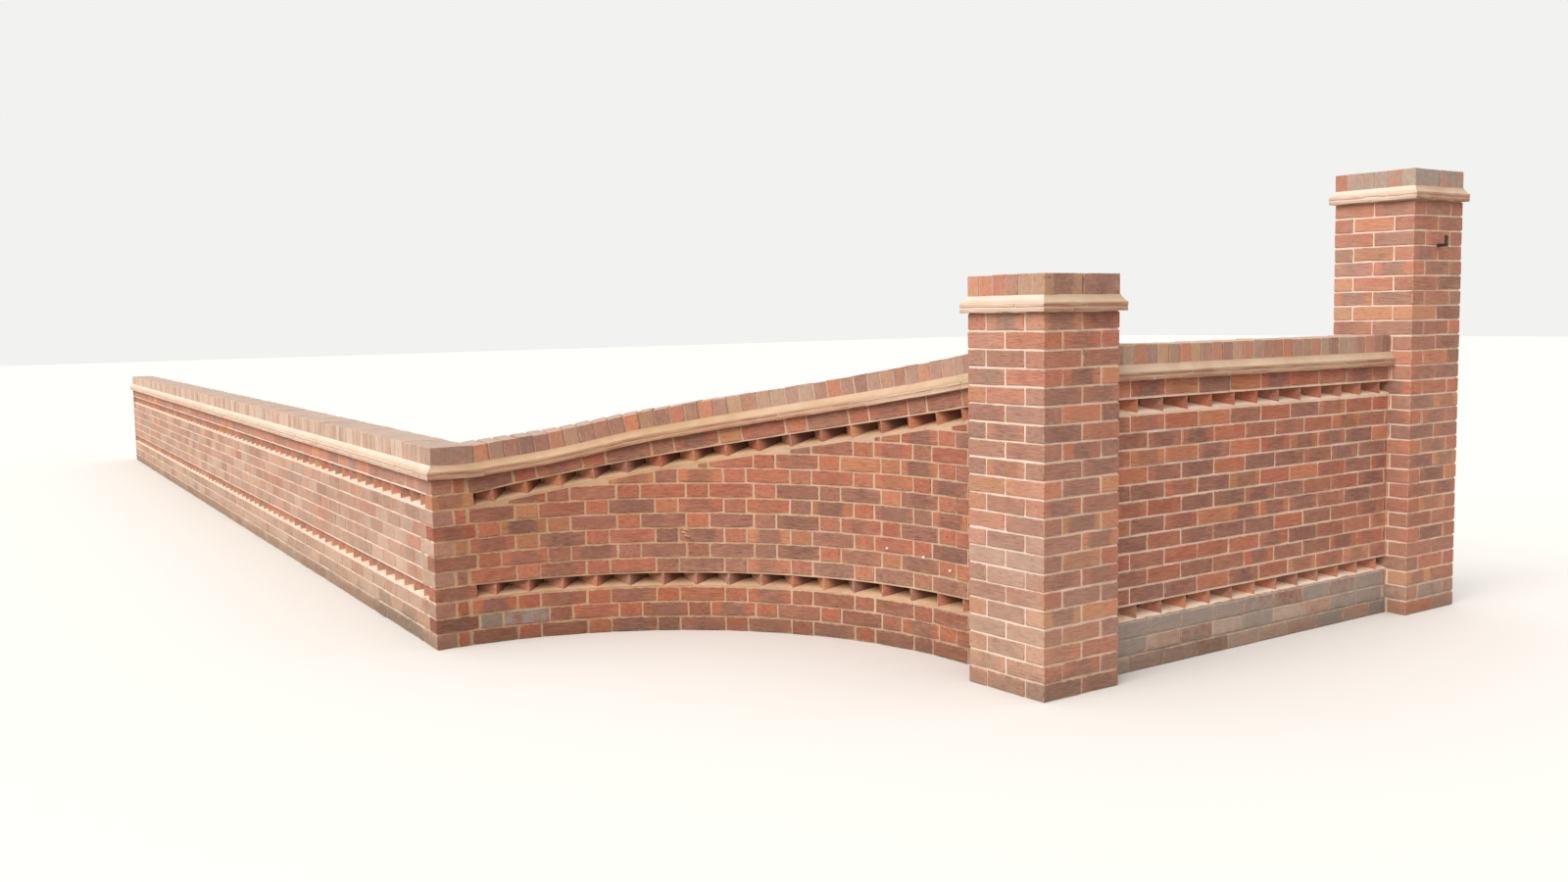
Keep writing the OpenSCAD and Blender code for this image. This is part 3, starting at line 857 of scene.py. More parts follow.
def lay_tooth(work, run, u, z, lean, climb=level, **look):
    """A slanting brick with its front arris at u; it leans back along the run, or against it."""
    turn = Matrix.Rotation(math.radians(45 if lean > 0 else 135), 4, "Z")
    side = BRICK_W / 2 if lean > 0 else -BRICK_W / 2
    place = place_at(run, u, TOOTH_DEPTH, z, climb) @ turn @ Matrix.Translation((TOOTH_L / 2, side, 0.0))
    work.lay(place, (TOOTH_L, BRICK_W, FAT_H), header=True, **look)


print("a dog-tooth brick is", round(TOOTH_L, 4), "m long, and they stand", TOOTH_PITCH, "m apart")

# %% [markdown]
# ## The street wall
# It is in stretcher bond, a half brick on in each course. Its bricks go right through the wall, so both
# faces show the same bond. At the corner, odd courses start with a full stretcher and even ones with
# the end of the curved wall's corner brick. Dust and lime make this side much the palest, apart from
# the head course, which the tiles shelter. Some bricks of the two lowest courses are mossy near the
# corner, or have pale salt on them.

# %% Street wall: one course
STREET_AGE, SHELTERED_AGE = (0.0, 0.0, 0.53), (0.0, 0.0, 0.22)
MOSSY, SALTED, MOSS_REACH = (0.35, 0.60, 0.15), (0.30, 0.12, 0.55), 1.0
DAMP_COURSES, SPARE, SHORTEST = (1, 2), 0.016, 0.020


def street_course(work, course_no):
    """One course of stretchers, from the corner to the far end."""
    z, clips = course_z(course_no), (CURVE_FACE, STREET_END)
    odd, damp = course_no % 2 == 1, course_no in DAMP_COURSES
    if odd:
        place = place_at(street_run, -BRICK_L / 2 + SPARE / 2, BRICK_W / 2, z)
        work.lay(place, (BRICK_L + SPARE, BRICK_W, FAT_H), clips=clips)
    u = -(BRICK_L if odd else BRICK_W) - JOINT
    while u > -STREET_L + SHORTEST:
        stop = max(u - BRICK_L, -STREET_L)
        mossy = damp and u > -MOSS_REACH and work.dice.random() < 0.6
        salted = damp and work.dice.random() < 0.5
        place = place_at(street_run, (u + stop) / 2, WALL_MID, z)
        age = MOSSY if mossy else SALTED if salted else None
        work.lay(place, (u - stop + FAT_L, THROUGH, FAT_H), age=age, clips=clips)
        u = stop - JOINT


print("a street course has about", round(STREET_L / (BRICK_L + JOINT)), "stretchers")

# %% [markdown]
# ## Plain courses
# Foot, panel and head course are separate pieces in the imported model, so they are separate meshes here.
# The feet are of older bricks. The walls also differ a little in brightness, partly as batches of brick
# do and partly as painted light: the return wall is made lighter for the dim gate side, and the street
# wall's head course, in the shade of the tiles, is made the brightest.

# %% Street wall: foot, panel and head course
NODE_OF = {"foot": "footing", "panel": "panel", "head": "head_course"}
# painted light: the 'return' range is raised to lighten the dim gate side, and 'street_head' much more, to
# lighten the head course in the shade of the tiles
BRIGHT = {
    "street": (0.85, 1.10),
    "street_head": (1.22, 1.50),
    "curve": (0.79, 1.02),
    "return": (0.92, 1.12),
}
FOOT_COURSES = range(1, LOW_TEETH)


def wall_piece(wall, part, seed, age, courses, lay_course):
    """One piece of plain courses. The feet are of older bricks, which are still red under the curve."""
    work = Brickwork(f"{wall}_{part}_bricks", seed, age, bright=BRIGHT.get(f"{wall}_{part}", BRIGHT[wall]))
    for course_no in courses:
        lay_course(work, course_no)
    old_brick = MAT_RED_FOOT if wall == "curve" else MAT_FOOT
    finish = (old_brick, "weathered_brick") if part == "foot" else (MAT_FACING, "red_brick")
    work.finish(*finish, [f"{wall}_{NODE_OF[part]}"])


wall_piece("street", "foot", 11, STREET_AGE, FOOT_COURSES, street_course)
wall_piece("street", "panel", 12, STREET_AGE, range(LOW_TEETH + 1, STREET_HEAD - 1), street_course)
wall_piece("street", "head", 13, SHELTERED_AGE, [STREET_HEAD], street_course)

# %% [markdown]
# The two dog-tooth courses are one piece, and a short closer fills what is left at their far end. The
# closers are a piece of their own, because the painted shade of the hollows doesn't belong on them.

# %% Street wall: dog-tooth courses
STREET_RUN = STREET_L - BRICK_W - JOINT
STREET_TEETH = int(STREET_RUN / TOOTH_PITCH)
closer = STREET_RUN - STREET_TEETH * TOOTH_PITCH
work = Brickwork("street_dogtooth_bricks", 14, (0.0, 0.0, 0.24))
closers = Brickwork("street_closer_bricks", 15, STREET_AGE)
for course_no in (LOW_TEETH, STREET_HEAD - 1):
    for i in range(STREET_TEETH):
        u = -BRICK_W - JOINT - (i + 0.5) * TOOTH_PITCH
        lay_tooth(work, street_run, u, course_z(course_no), -1, clips=[STREET_END])
    place = place_at(street_run, -STREET_L + closer / 2, WALL_MID, course_z(course_no))
    closers.lay(place, (closer, BRICK_L - 0.002, FAT_H), clips=[STREET_END])
closers.finish(MAT_FACING, "red_brick")
work.finish(MAT_TOOTH, "red_brick", ["street_lower_dogtooth", "street_upper_dogtooth"], arris=TOOTH_ARRIS)
print(2 * STREET_TEETH, "slanting bricks along the street")

# %% [markdown]
# ## The curved wall
# Here the bond changes to Flemish: stretchers and headers in turn, each header over the middle of a
# stretcher. Headers and short closers help a bricklayer turn a curve. The bricks stay straight, so the
# wall is a ring of small flats: the middle of a stretcher stands 2 mm proud of the true curve, and its
# ends lie 2 mm behind. The outer skin is separate, because its ring is longer.

# %% Curved wall: bricks of a Flemish course
PAIR, STRETCHER, HEADER = 0.3473, 0.2225, 0.1055
FLEMISH_JOINT = (PAIR - STRETCHER - HEADER) / 2
CLOSER_END, CORNER_JOINT = 0.1655, 0.012


def proud_of(length):
    """How far the middle of a straight brick of that length stands proud of the curve."""
    return length**2 / (16 * CURVE_R)


def flemish_marks(course_no, end):
    """Start, end and kind of each brick of a course, from the street corner."""
    odd = course_no % 2 == 1
    marks = [(BRICK_W + JOINT, CLOSER_END, True)] if odd else [(0.0, BRICK_L, False)]
    u, is_header = (CLOSER_END + JOINT + FLEMISH_JOINT, False) if odd else (BRICK_L + CORNER_JOINT, True)
    while u < end - SHORTEST:
        length = HEADER if is_header else STRETCHER
        marks.append((u, min(u + length, end), is_header))
        u, is_header = u + length + FLEMISH_JOINT, not is_header
    return marks


print("a Flemish pair takes", PAIR, "m, its joints", round(FLEMISH_JOINT * 1000, 1), "mm")

# %% [markdown]
# The panel's courses are level, and the ramp cuts across them. The bricklayer cuts the last bricks of a
# course to the slope and leaves out what would be too thin to bed. Here a plane under the slope makes
# that cut, a brick is shortened until its thin end is 14 mm high, and scraps are left out.


# %% Curved wall: the inner skin
THINNEST, SCRAP, TOUCH = 0.014, 0.025, 0.002


def under_roof(start, end, course_no):
    """Shortens a brick that runs out under the ramp; returns its start and the planes that cut it."""
    low, high = COURSE * (course_no - 1) + JOINT / 2, COURSE * course_no - JOINT / 2
    if PANEL_ROOF + ramp(start) - ROOF_JOINT > high - TOUCH:
        return start, []
    thin = RAMP_FROM + (low + THINNEST + ROOF_JOINT - PANEL_ROOF) * (PATH_L - RAMP_FROM) / RISE
    return max(start, thin), [under_slope((start + end) / 2)]


def lay_flemish(work, course_no, chosen):
    """One level course of the inner skin, cut to the slope where the slope comes down to it."""
    z = course_z(course_no)
    for index, (start, end, is_header) in enumerate(flemish_marks(course_no, PATH_L - JOINT)):
        start, clips = under_roof(start, end, course_no)
        if end - start < SCRAP:
            continue
        look = {"clips": clips + [PIER_LEFT], **chosen.get((course_no, index), {})}
        depth = BRICK_W / 2 - proud_of(end - start)
        if is_header:
            lay_header(work, curve_run, (start + end) / 2, z, end - start, depth, **look)
            continue
        spare = SPARE if start < JOINT else 0.0
        place = place_at(curve_run, (start + end - spare) / 2, depth, z)
        look["clips"] += [STREET_FACE] if spare else []
        work.lay(place, (end - start + spare, BRICK_W, FAT_H), **look)


print("no cut brick is thinner than", THINNEST, "m or shorter than", SCRAP, "m")

# %% [markdown]
# The skin behind has the same bond on a longer ring, so each of its bricks takes up less of the run.
# `ring` is how much longer it is. Low even courses begin with a short closer beside the corner brick.


# %% Curved wall: the outer skin
OUTER_V = BRICK_L - BRICK_W / 2 - 0.0015
OUTER_STARTS, OUTER_CLOSER, OUTER_CLOSER_L = (0.247, 0.195), 0.214, 0.054
OUTER_LAST, OUTER_SCRAP = 0.014, 0.012


def lay_outer(work, course_no):
    """The skin behind: the same bond, opened out for the longer ring."""
    is_header = course_no % 2 == 0
    u = OUTER_STARTS[course_no % 2]
    if is_header and course_no < STREET_HEAD - 1:
        closer = place_at(curve_run, OUTER_CLOSER, OUTER_V, course_z(course_no))
        work.lay(closer, (OUTER_CLOSER_L, BRICK_W, FAT_H))
    while u < PATH_L - OUTER_LAST:
        ring = (CURVE_R + BRICK_L) / CURVE_R if u < ARC_L else 1.0
        end = min(u + (HEADER if is_header else STRETCHER) / ring, PATH_L - JOINT)
        start, clips = under_roof(u, end, course_no)
        if end - start > OUTER_SCRAP:
            place = place_at(curve_run, (start + end) / 2, OUTER_V, course_z(course_no))
            size = ((end - start) * ring, BRICK_W, FAT_H)
            work.lay(place, size, clips=clips + [PIER_LEFT], header=is_header)
        u, is_header = end + FLEMISH_JOINT / ring, not is_header


print("the outer ring is", round((CURVE_R + BRICK_L) / CURVE_R, 3), "times as long")

# %% [markdown]
# The lowest course that shows has three old bricks by the corner: a dark plum one, a mossy header and a
# grey stretcher. They are listed one by one; every other brick takes what the dice give it.

# %% Curved wall: foot and panel
OLD_BRICKS = {
    (2, 0): {"tone": (0.05, 0.78, 0.9), "age": (0.10, 0.10, 0.0)},
    (2, 1): {"tone": (0.40, 0.95, 0.0), "age": (0.45, 0.62, 0.2)},
    (2, 2): {"tone": (0.20, 0.92, 0.3), "age": (0.78, 0.45, 0.1)},
}
CURVE_AGE = (0.0, 0.0, 0.05)


def curve_course(work, course_no):
    """Both skins of one course."""
    lay_flemish(work, course_no, OLD_BRICKS)
    lay_outer(work, course_no)


wall_piece("curve", "foot", 21, (0.02, 0.02, 0.04), FOOT_COURSES, curve_course)
wall_piece("curve", "panel", 22, CURVE_AGE, range(LOW_TEETH + 1, RETURN_HEAD - 1), curve_course)

# %% [markdown]
# ## Teeth round the curve
# This is the hardest piece of bricklaying in the wall. The lower dog-tooth course is level. The upper
# one climbs with the ramp, so each slanting brick is tipped with the slope as well as turned with the
# curve, and the course above sits on them at the same slope.

# %% Curved wall: dog-tooth and head course
CURVE_TEETH = 17
HALF_TOOTH = (PATH_L - RAMP_FROM) / CURVE_TEETH / 2
work = Brickwork("curve_dogtooth_bricks", 23, CURVE_AGE)
corners = Brickwork("curve_corner_bricks", 25, CURVE_AGE, bright=BRIGHT["curve"])
for course_no, climb in ((LOW_TEETH, level), (STREET_HEAD - 1, ramp)):
    corner = place_at(curve_run, BRICK_L / 2 - SPARE / 2, BRICK_W / 2, course_z(course_no))
    corners.lay(corner, (BRICK_L + SPARE, BRICK_W, FAT_H), clips=[STREET_FACE])
    for i in range(CURVE_TEETH):
        u = RAMP_FROM + (2 * i + 1) * HALF_TOOTH
        lay_tooth(work, curve_run, u, course_z(course_no), 1, climb, clips=[PIER_LEFT])
work.finish(MAT_TOOTH, "red_brick", ["curve_lower_dogtooth", "curve_upper_dogtooth"], arris=TOOTH_ARRIS)
corners.finish(MAT_FACING, "red_brick")

HEAD_Z, OUTER_STRETCH = course_z(STREET_HEAD), 1.08
shrink = math.cos(slope_of(ramp, 1.0))
work = Brickwork("curve_head_bricks", 24, CURVE_AGE, bright=(0.82, 1.05))
for start, end, is_header in flemish_marks(STREET_HEAD, PATH_L + 0.03):
    u, length = (start + end) / 2, end - start
    u = RAMP_FROM + (u - RAMP_FROM) * shrink if u > RAMP_FROM else u
    depth = BRICK_W / 2 - proud_of(length)
    if is_header:
        lay_header(work, curve_run, u, HEAD_Z, length, depth, ramp, clips=[PIER_LEFT])
    else:
        place = place_at(curve_run, u, depth, HEAD_Z, ramp)
        work.lay(place, (length, BRICK_W, FAT_H), clips=[PIER_LEFT])
    place = place_at(curve_run, u, OUTER_V, HEAD_Z, ramp)
    work.lay(place, (length * OUTER_STRETCH, BRICK_W, FAT_H), clips=[PIER_LEFT], header=is_header)
work.finish(MAT_FACING, "red_brick", ["curve_head_course"])

# %% [markdown]
# A few spots of lime have been left on the curved panel near the pier, and one header has lost its face
# and shows a lumpy break. Each spot or lump is a small ball that is pressed flat on the face of a brick,
# so that only a low dab stands out.

# %% Spots of lime and a broken face
LUMPS = ((1.262, 0.512, 0.017, 0.006), (1.256, 0.497, 0.020, 0.007), (1.266, 0.481, 0.018, 0.007))
DABS = ((2.34, 0.470, 0.007), (2.56, 0.450, 0.009), (2.73, 0.410, 0.008))


def pressed_ball(bm, place, waves, rough):
    """A small uneven ball; the place also squashes it."""
    ball = bmesh.ops.create_icosphere(bm, subdivisions=2, radius=1.0, matrix=place)["verts"]
    for vert in ball:
        vert.co += noise.noise_vector(vert.co * waves) * rough


bm = bmesh.new()
for u, z, wide, high in LUMPS:
    place = place_at(curve_run, u, -0.0005, z) @ Matrix.Rotation(0.35, 4, "Y")
    pressed_ball(bm, place @ Matrix.Diagonal((wide, 0.0055, high, 1.0)), 90.0, 0.0022)
make_piece("curve_broken_face", bm, MAT_TILE)

bm = bmesh.new()
for u, z, size in DABS:
    place = place_at(curve_run, u, -0.001, z)
    pressed_ball(bm, place @ Matrix.Diagonal((size, 0.004, size * 0.8, 1.0)), 200.0, 0.0015)
make_piece("curve_lime_spots", bm, MAT_LIME)

# %% [markdown]
# ## The return wall
# Between the piers the wall is plain stretcher bond again, at the height that the ramp has reached. Its
# low courses are older bricks, grey and patched with salt, that were kept when the wall above was built
# new. Courses start with a long or a short piece in turn, so that the bond shifts by half a brick.

# %% Return wall
RETURN_AGE, OLD_GREY, PATCHY = (0.0, 0.0, 0.05), (0.66, 0.12, 0.10), (0.50, 0.08, 0.95)
LONG_START, SHORT_START, LAST_PIECE = 0.187, 0.0745, 0.030


def return_course(work, course_no):
    """Stretchers between the piers. The first brick of the third course is already a new one."""
    u, damp = JOINT, course_no in DAMP_COURSES
    length = LONG_START if course_no in (1, *range(LOW_TEETH + 1, RETURN_HEAD + 1, 2)) else SHORT_START
    while u < RETURN_L - LAST_PIECE:
        stop = min(u + length, RETURN_L - JOINT)
        old = damp or (course_no < LOW_TEETH and u > JOINT)
        patchy = damp and work.dice.random() < 0.6
        place = place_at(return_run, (u + stop) / 2, WALL_MID, course_z(course_no))
        age = PATCHY if patchy else OLD_GREY if old else None
        work.lay(place, (stop - u + FAT_L, THROUGH, FAT_H), age=age, clips=[REAR_FRONT])
        u, length = stop + JOINT, BRICK_L


wall_piece("return", "foot", 31, RETURN_AGE, FOOT_COURSES, return_course)
wall_piece("return", "panel", 32, RETURN_AGE, range(LOW_TEETH + 1, RETURN_HEAD - 1), return_course)
wall_piece("return", "head", 33, RETURN_AGE, [RETURN_HEAD], return_course)

RETURN_TEETH = round(RETURN_L / TOOTH_PITCH)
work = Brickwork("return_dogtooth_bricks", 34, RETURN_AGE)
for course_no in (LOW_TEETH, RETURN_HEAD - 1):
    for i in range(RETURN_TEETH):
        u = (i + 0.5) * RETURN_L / RETURN_TEETH
        lay_tooth(work, return_run, u, course_z(course_no), 1, clips=[REAR_FRONT])
work.finish(MAT_TOOTH, "red_brick", ["return_lower_dogtooth", "return_upper_dogtooth"], arris=TOOTH_ARRIS)

# %% [markdown]
# ## The piers
# A two-brick pier turns its pattern by a quarter turn each course: where one face shows header,
# stretcher, header, the next face round shows two stretchers. On the course above they swap. The
# front pier has more bloom low down, and the rear pier's two lowest courses have gone grey.


# %% Pier shafts
FRONT_AGE, FRONT_LOW_AGE = (0, 0, 0.22), (0, 0, 0.42)
REAR_AGE, REAR_LOW_AGE = (0, 0, 0.24), (0.50, 0.10, 0.20)


def pier_course(work, y, course_no, age=None):
    """Six bricks round a core: two pairs side by side, with a stretcher front and back between them."""
    spin = Matrix.Rotation(0.0 if course_no % 2 else math.pi / 2, 4, "Z")
    base = Matrix.Translation((0, y, course_z(course_no))) @ spin
    out, shift = PIER / 2 - BRICK_W / 2, (BRICK_L + JOINT) / 2
    size = (BRICK_L + FAT_L, BRICK_W, FAT_H)
    quarter = Matrix.Rotation(math.pi / 2, 4, "Z")
    for side in (-1, 1):
        for end in (-1, 1):
            work.lay(base @ Matrix.Translation((side * out, end * shift, 0)) @ quarter, size, age=age)
        work.lay(base @ Matrix.Translation((0, side * out, 0)), size, age=age)


# painted light: the front pier's bricks are made a little brighter, for the dim light on its gate side
work = Brickwork("front_pier_bricks", 41, FRONT_AGE, bright=(0.88, 1.12))
for course_no in range(1, FRONT_COURSES + 1):
    pier_course(work, 0.0, course_no, FRONT_LOW_AGE if 2 < course_no < 10 else None)
work.finish(MAT_FACING, "red_brick", ["front_pier_shaft"])

# painted light: the rear pier's bricks are made brighter still, for the dim light on its gate side
work = Brickwork("rear_pier_bricks", 51, REAR_AGE, bright=(0.96, 1.18))
for course_no in range(1, REAR_COURSES + 1):
    pier_course(work, REAR_Y, course_no, REAR_LOW_AGE if course_no in DAMP_COURSES else None)
work.finish(MAT_STAINED, "red_brick", ["rear_pier_shaft"])

# %% [markdown]
# ## Mortar between the bricks
# Behind the brick faces stands the mortar, set back by the few millimetres that a struck joint has. In
# the dog-tooth courses only the gaps between the bricks are filled, deep in the wall.


# %% Mortar of the three walls
RECESS, DEEP = 0.0045, (0.100, 0.115)


def wall_mortar(name, run, ends, panel_top, climb, finishes, clips=()):
    """The core behind the bricks and the deep filling between the teeth."""
    front, rear, lap = RECESS, BRICK_L - RECESS, JOINT / 2 + 0.001
    panel_foot, head_foot = FOOT_TOP + COURSE, panel_top + COURSE
    rows = round((panel_top - panel_foot) / COURSE) * 2

    def leaning(height):
        """The panel is level at its foot, and its top rises with the slope."""
        return min(max((height - panel_foot) / (panel_top - panel_foot), 0.0), 1.0)

    bm = bmesh.new()
    draw_along(bm, run, *ends, box_section(front, rear, 0.0, FOOT_TOP + lap, 7), clips=clips)
    make_piece(name + "_foot", bm, finishes[0])
    bm = bmesh.new()
    draw_along(bm, run, *ends, box_section(*DEEP, FOOT_TOP, panel_foot, 2), clips=clips)
    panel = box_section(front, rear, panel_foot - lap, panel_top + lap, rows)
    draw_along(bm, run, *ends, panel, climb=climb, share=leaning, clips=clips)
    draw_along(bm, run, *ends, box_section(*DEEP, panel_top, head_foot, 2), climb=climb, clips=clips)
    head = box_section(front, rear, head_foot - lap, head_foot + COURSE, 3)
    draw_along(bm, run, *ends, head, climb=climb, clips=clips)
    make_piece(name, bm, finishes[1])


street_ends, curve_ends = (-STREET_L + 0.002, 0.02), (-0.02, PATH_L + 0.01)
return_ends = (-0.01, RETURN_L + 0.01)
pale, buff, aged = (MAT_MORTAR, MAT_MORTAR), (MAT_BUFF, MAT_BUFF), (MAT_OLD, MAT_MORTAR)
behind_curve, behind_street = pushed(CURVE_FACE, -RECESS), pushed(STREET_FACE, -RECESS)
wall_mortar("street_mortar", street_run, street_ends, PANEL_ROOF, level, pale, [behind_curve])
wall_mortar("curve_mortar", curve_run, curve_ends, PANEL_ROOF, ramp, buff, [behind_street])
wall_mortar("return_mortar", return_run, return_ends, RETURN_TOP - 2 * COURSE, level, aged)

# %% [markdown]
# The hollows of the dog-tooth courses have floors of pale mortar, buff round the curve. They rise towards
# the middle of the wall, so that rain runs out, and catch the light, which makes the teeth stand out.


# %% Floors of the hollows
FLOOR = ((0.004, 0.002), (0.004, 0.0080), (0.030, 0.016), (0.085, 0.034))


def hollow_floors(wall, run, ends, panel_top, climb, material):
    """Two long low ridges on which the dog-tooth bricks stand."""
    bm = bmesh.new()
    section = [*FLOOR, *((BRICK_L - v, z) for v, z in reversed(FLOOR))]
    for base, rise in ((FOOT_TOP, level), (panel_top, climb)):
        ridge = [(v, base + z) for v, z in section]
        draw_along(bm, run, *ends, ridge, step=0.025, climb=rise, rough=0.003)
    make_piece(wall + "_hollow_floors", bm, material)


hollow_floors("street", street_run, (-STREET_L + 0.01, -BRICK_W + 0.02), PANEL_ROOF, level, MAT_MORTAR)
hollow_floors("curve", curve_run, (BRICK_L - 0.02, PATH_L + 0.01), PANEL_ROOF, ramp, MAT_BUFF)
hollow_floors("return", return_run, return_ends, RETURN_TOP - 2 * COURSE, level, MAT_MORTAR)

# %% [markdown]
# A pier's mortar is one tall block just behind the faces of its bricks. It is cut into small squares
# so that the joints are uneven too.


# %% Mortar of the piers
PIER_RECESS = 0.0042


def pier_mortar(name, y, top):
    """One rough block behind the faces of a pier's bricks."""
    bm = bmesh.new()
    side = PIER / 2 - PIER_RECESS
    rows = round(top / COURSE) * 2 - 1
    rough_block(bm, (-side, y - side, 0.0), (side, y + side, top), (8, 8, rows))
    make_piece(name, bm, MAT_MORTAR)


pier_mortar("front_pier_mortar", 0.0, FRONT_TOP)
pier_mortar("rear_pier_mortar", REAR_Y, REAR_TOP)

# %% [markdown]
# ## Tile creasing
# Two courses of flat tiles stick out past the wall and throw the rain clear of it. They lie in pale
# mortar that is struck flush, so from the side there are two thin lines of clay in a pale band.

# %% Tiles along the walls
TILE_H, TILE_ALONG, TILE_JOINT, TILE_SHIFT = 0.0125, 0.165, 0.003, 0.08
TILE_LEVELS, TILE_WEAR = (0.0010, 0.0215), dict(arris=0.0016, chips=0.15)
OVERHANG, PIER_OVERHANG = 0.028, 0.026


def lay_tiles(work, run, start, end, z, climb, clips, shift):
    """A course of tiles that cross the wall. Round the curve they are cut narrower, to follow it."""
    width = BRICK_L + 2 * OVERHANG
    along = TILE_ALONG * 0.6 if run is curve_run else TILE_ALONG
    u = start - shift
    while u < end:
        low, high = max(u, start), min(u + along - TILE_JOINT, end)
        if high - low > SHORTEST:
            middle = (low + high) / 2
            ring = (CURVE_R + WALL_MID) / CURVE_R if run is curve_run and middle < ARC_L else 1.0
            place = place_at(run, middle, WALL_MID, z, climb)
            work.lay(place, ((high - low) * ring, width - TILE_JOINT, TILE_H), clips=clips)
        u += along


def creasing(wall, run, starts, ends, base, climb, clips, seed):
    """Both courses of tiles; the upper one is shifted along, so that its joints lie over tiles."""
    work = Brickwork(wall + "_creasing", seed, crooked=0.7)
    for i, low in enumerate(TILE_LEVELS):
        lay_tiles(work, run, starts[i], ends[i], base + low + TILE_H / 2, climb, clips, TILE_SHIFT * i)
    work.finish(MAT_TILE, "creasing_tile", [wall + "_lower_tiles", wall + "_upper_tiles"], **TILE_WEAR)


past_street, past_curve = pushed(STREET_FACE, OVERHANG), pushed(CURVE_FACE, OVERHANG)
far, near = (-STREET_L, -STREET_L), (0.05, -0.26)
creasing("street", street_run, far, near, STREET_TOP, level, [past_curve], 61)
far, near = (0.262, -0.05), (PATH_L + 0.02, PATH_L + 0.02)
creasing("curve", curve_run, far, near, STREET_TOP, eased_ramp, [past_street, PIER_LEFT], 62)
far, near = (0.002, 0.002), (RETURN_L - 0.002, RETURN_L - 0.002)
creasing("return", return_run, far, near, RETURN_TOP, level, [], 63)

# %% [markdown]
# Round a pier the same tiles lie in two rows of three, and the upper layer is turned by a quarter turn
# so that its joints don't lie over those below.


# %% Tiles on the piers
def pier_tiles(pier, y, base, seed):
    """Two layers of six tiles."""
    work = Brickwork(pier + "_creasing", seed, crooked=0.7)
    side = PIER + 2 * PIER_OVERHANG
    for layer, low in enumerate(TILE_LEVELS):
        spin = Matrix.Translation((0, y, 0)) @ Matrix.Rotation(layer * math.pi / 2, 4, "Z")
        for column in (-1, 1):
            for row in (-1, 0, 1):
                spot = Matrix.Translation((column * side / 4, row * side / 3, base + low + TILE_H / 2))
                work.lay(spin @ spot, (side / 2 - TILE_JOINT, side / 3 - TILE_JOINT, TILE_H))
    work.finish(MAT_TILE, "creasing_tile", [pier + "_lower_tiles", pier + "_upper_tiles"], **TILE_WEAR)


pier_tiles("front_pier", 0.0, FRONT_TOP, 64)
pier_tiles("rear_pier", REAR_Y, REAR_TOP, 65)

# %% [markdown]
# ## Mortar fillets
# Over the tiles, a sloping fillet of mortar sheds the rain. The trowel leaves it slightly hollow and
# wavy. It hides the top of the upper tile's edge and laps a finger's width up the foot of the coping.

# %% Fillets along the walls
LAP = 0.018
LIP_FOOT, LIP_TOP, FILLET_TOP = 0.0305, 0.0375, CREASING + BED + LAP
TILES_TOP, INSET = CREASING - 0.006, 0.0035
FILLET_STEPS = ((0.0, 0.0), (0.3, 0.20), (0.6, 0.46), (0.85, 0.74), (1.0, 1.0))


def fillet_piece(wall, run, start, end, base, climb, clips):
    """The sloping fillet, and the flush mortar between the tiles below it."""
    bm = bmesh.new()
    low, high = base + LIP_TOP, base + FILLET_TOP
    half = [(-OVERHANG + 0.0015, base + LIP_FOOT)]
    for out, up in FILLET_STEPS:
        half.append((-OVERHANG * (1 - out) + 0.002 * (1 - 2 * out), low + (high - low) * up))
    section = half + [(BRICK_L - v, z) for v, z in reversed(half)]
    wavy = dict(step=0.03, rough=0.0024, waves=9.0)
    draw_along(bm, run, start, end, section, climb=climb, clips=clips, **wavy)
    between = box_section(-OVERHANG + INSET, BRICK_L + OVERHANG - INSET, base, base + TILES_TOP)
    draw_along(bm, run, start, end, between, climb=climb, waves=12.0, clips=clips)
    finish = MAT_RAMP if wall == "curve" else MAT_BED
    make_piece(wall + "_fillet_mortar", bm, finish, [wall + "_fillet"])


bisector = outward(STREET_TURN) + outward(CURVE_START)
MITRE = Vector((-bisector.y, bisector.x, 0.0)).normalized()
fillet_piece("street", street_run, -STREET_L + 0.002, 0.06, STREET_TOP, level, [(CORNER_3D, MITRE)])
fillet_piece("curve", curve_run, -0.06, PATH_L + 0.01, STREET_TOP, eased_ramp, [(CORNER_3D, -MITRE)])
fillet_piece("return", return_run, -0.005, RETURN_L + 0.005, RETURN_TOP, level, [])
print("the corner is mitred towards", [round(v, 2) for v in MITRE])

# %% [markdown]
# On a pier the fillet runs round all four sides. A square sheet is extruded in steps, and each new rim
# is drawn in and lifted, which gives four hollow slopes that meet in clean hips.


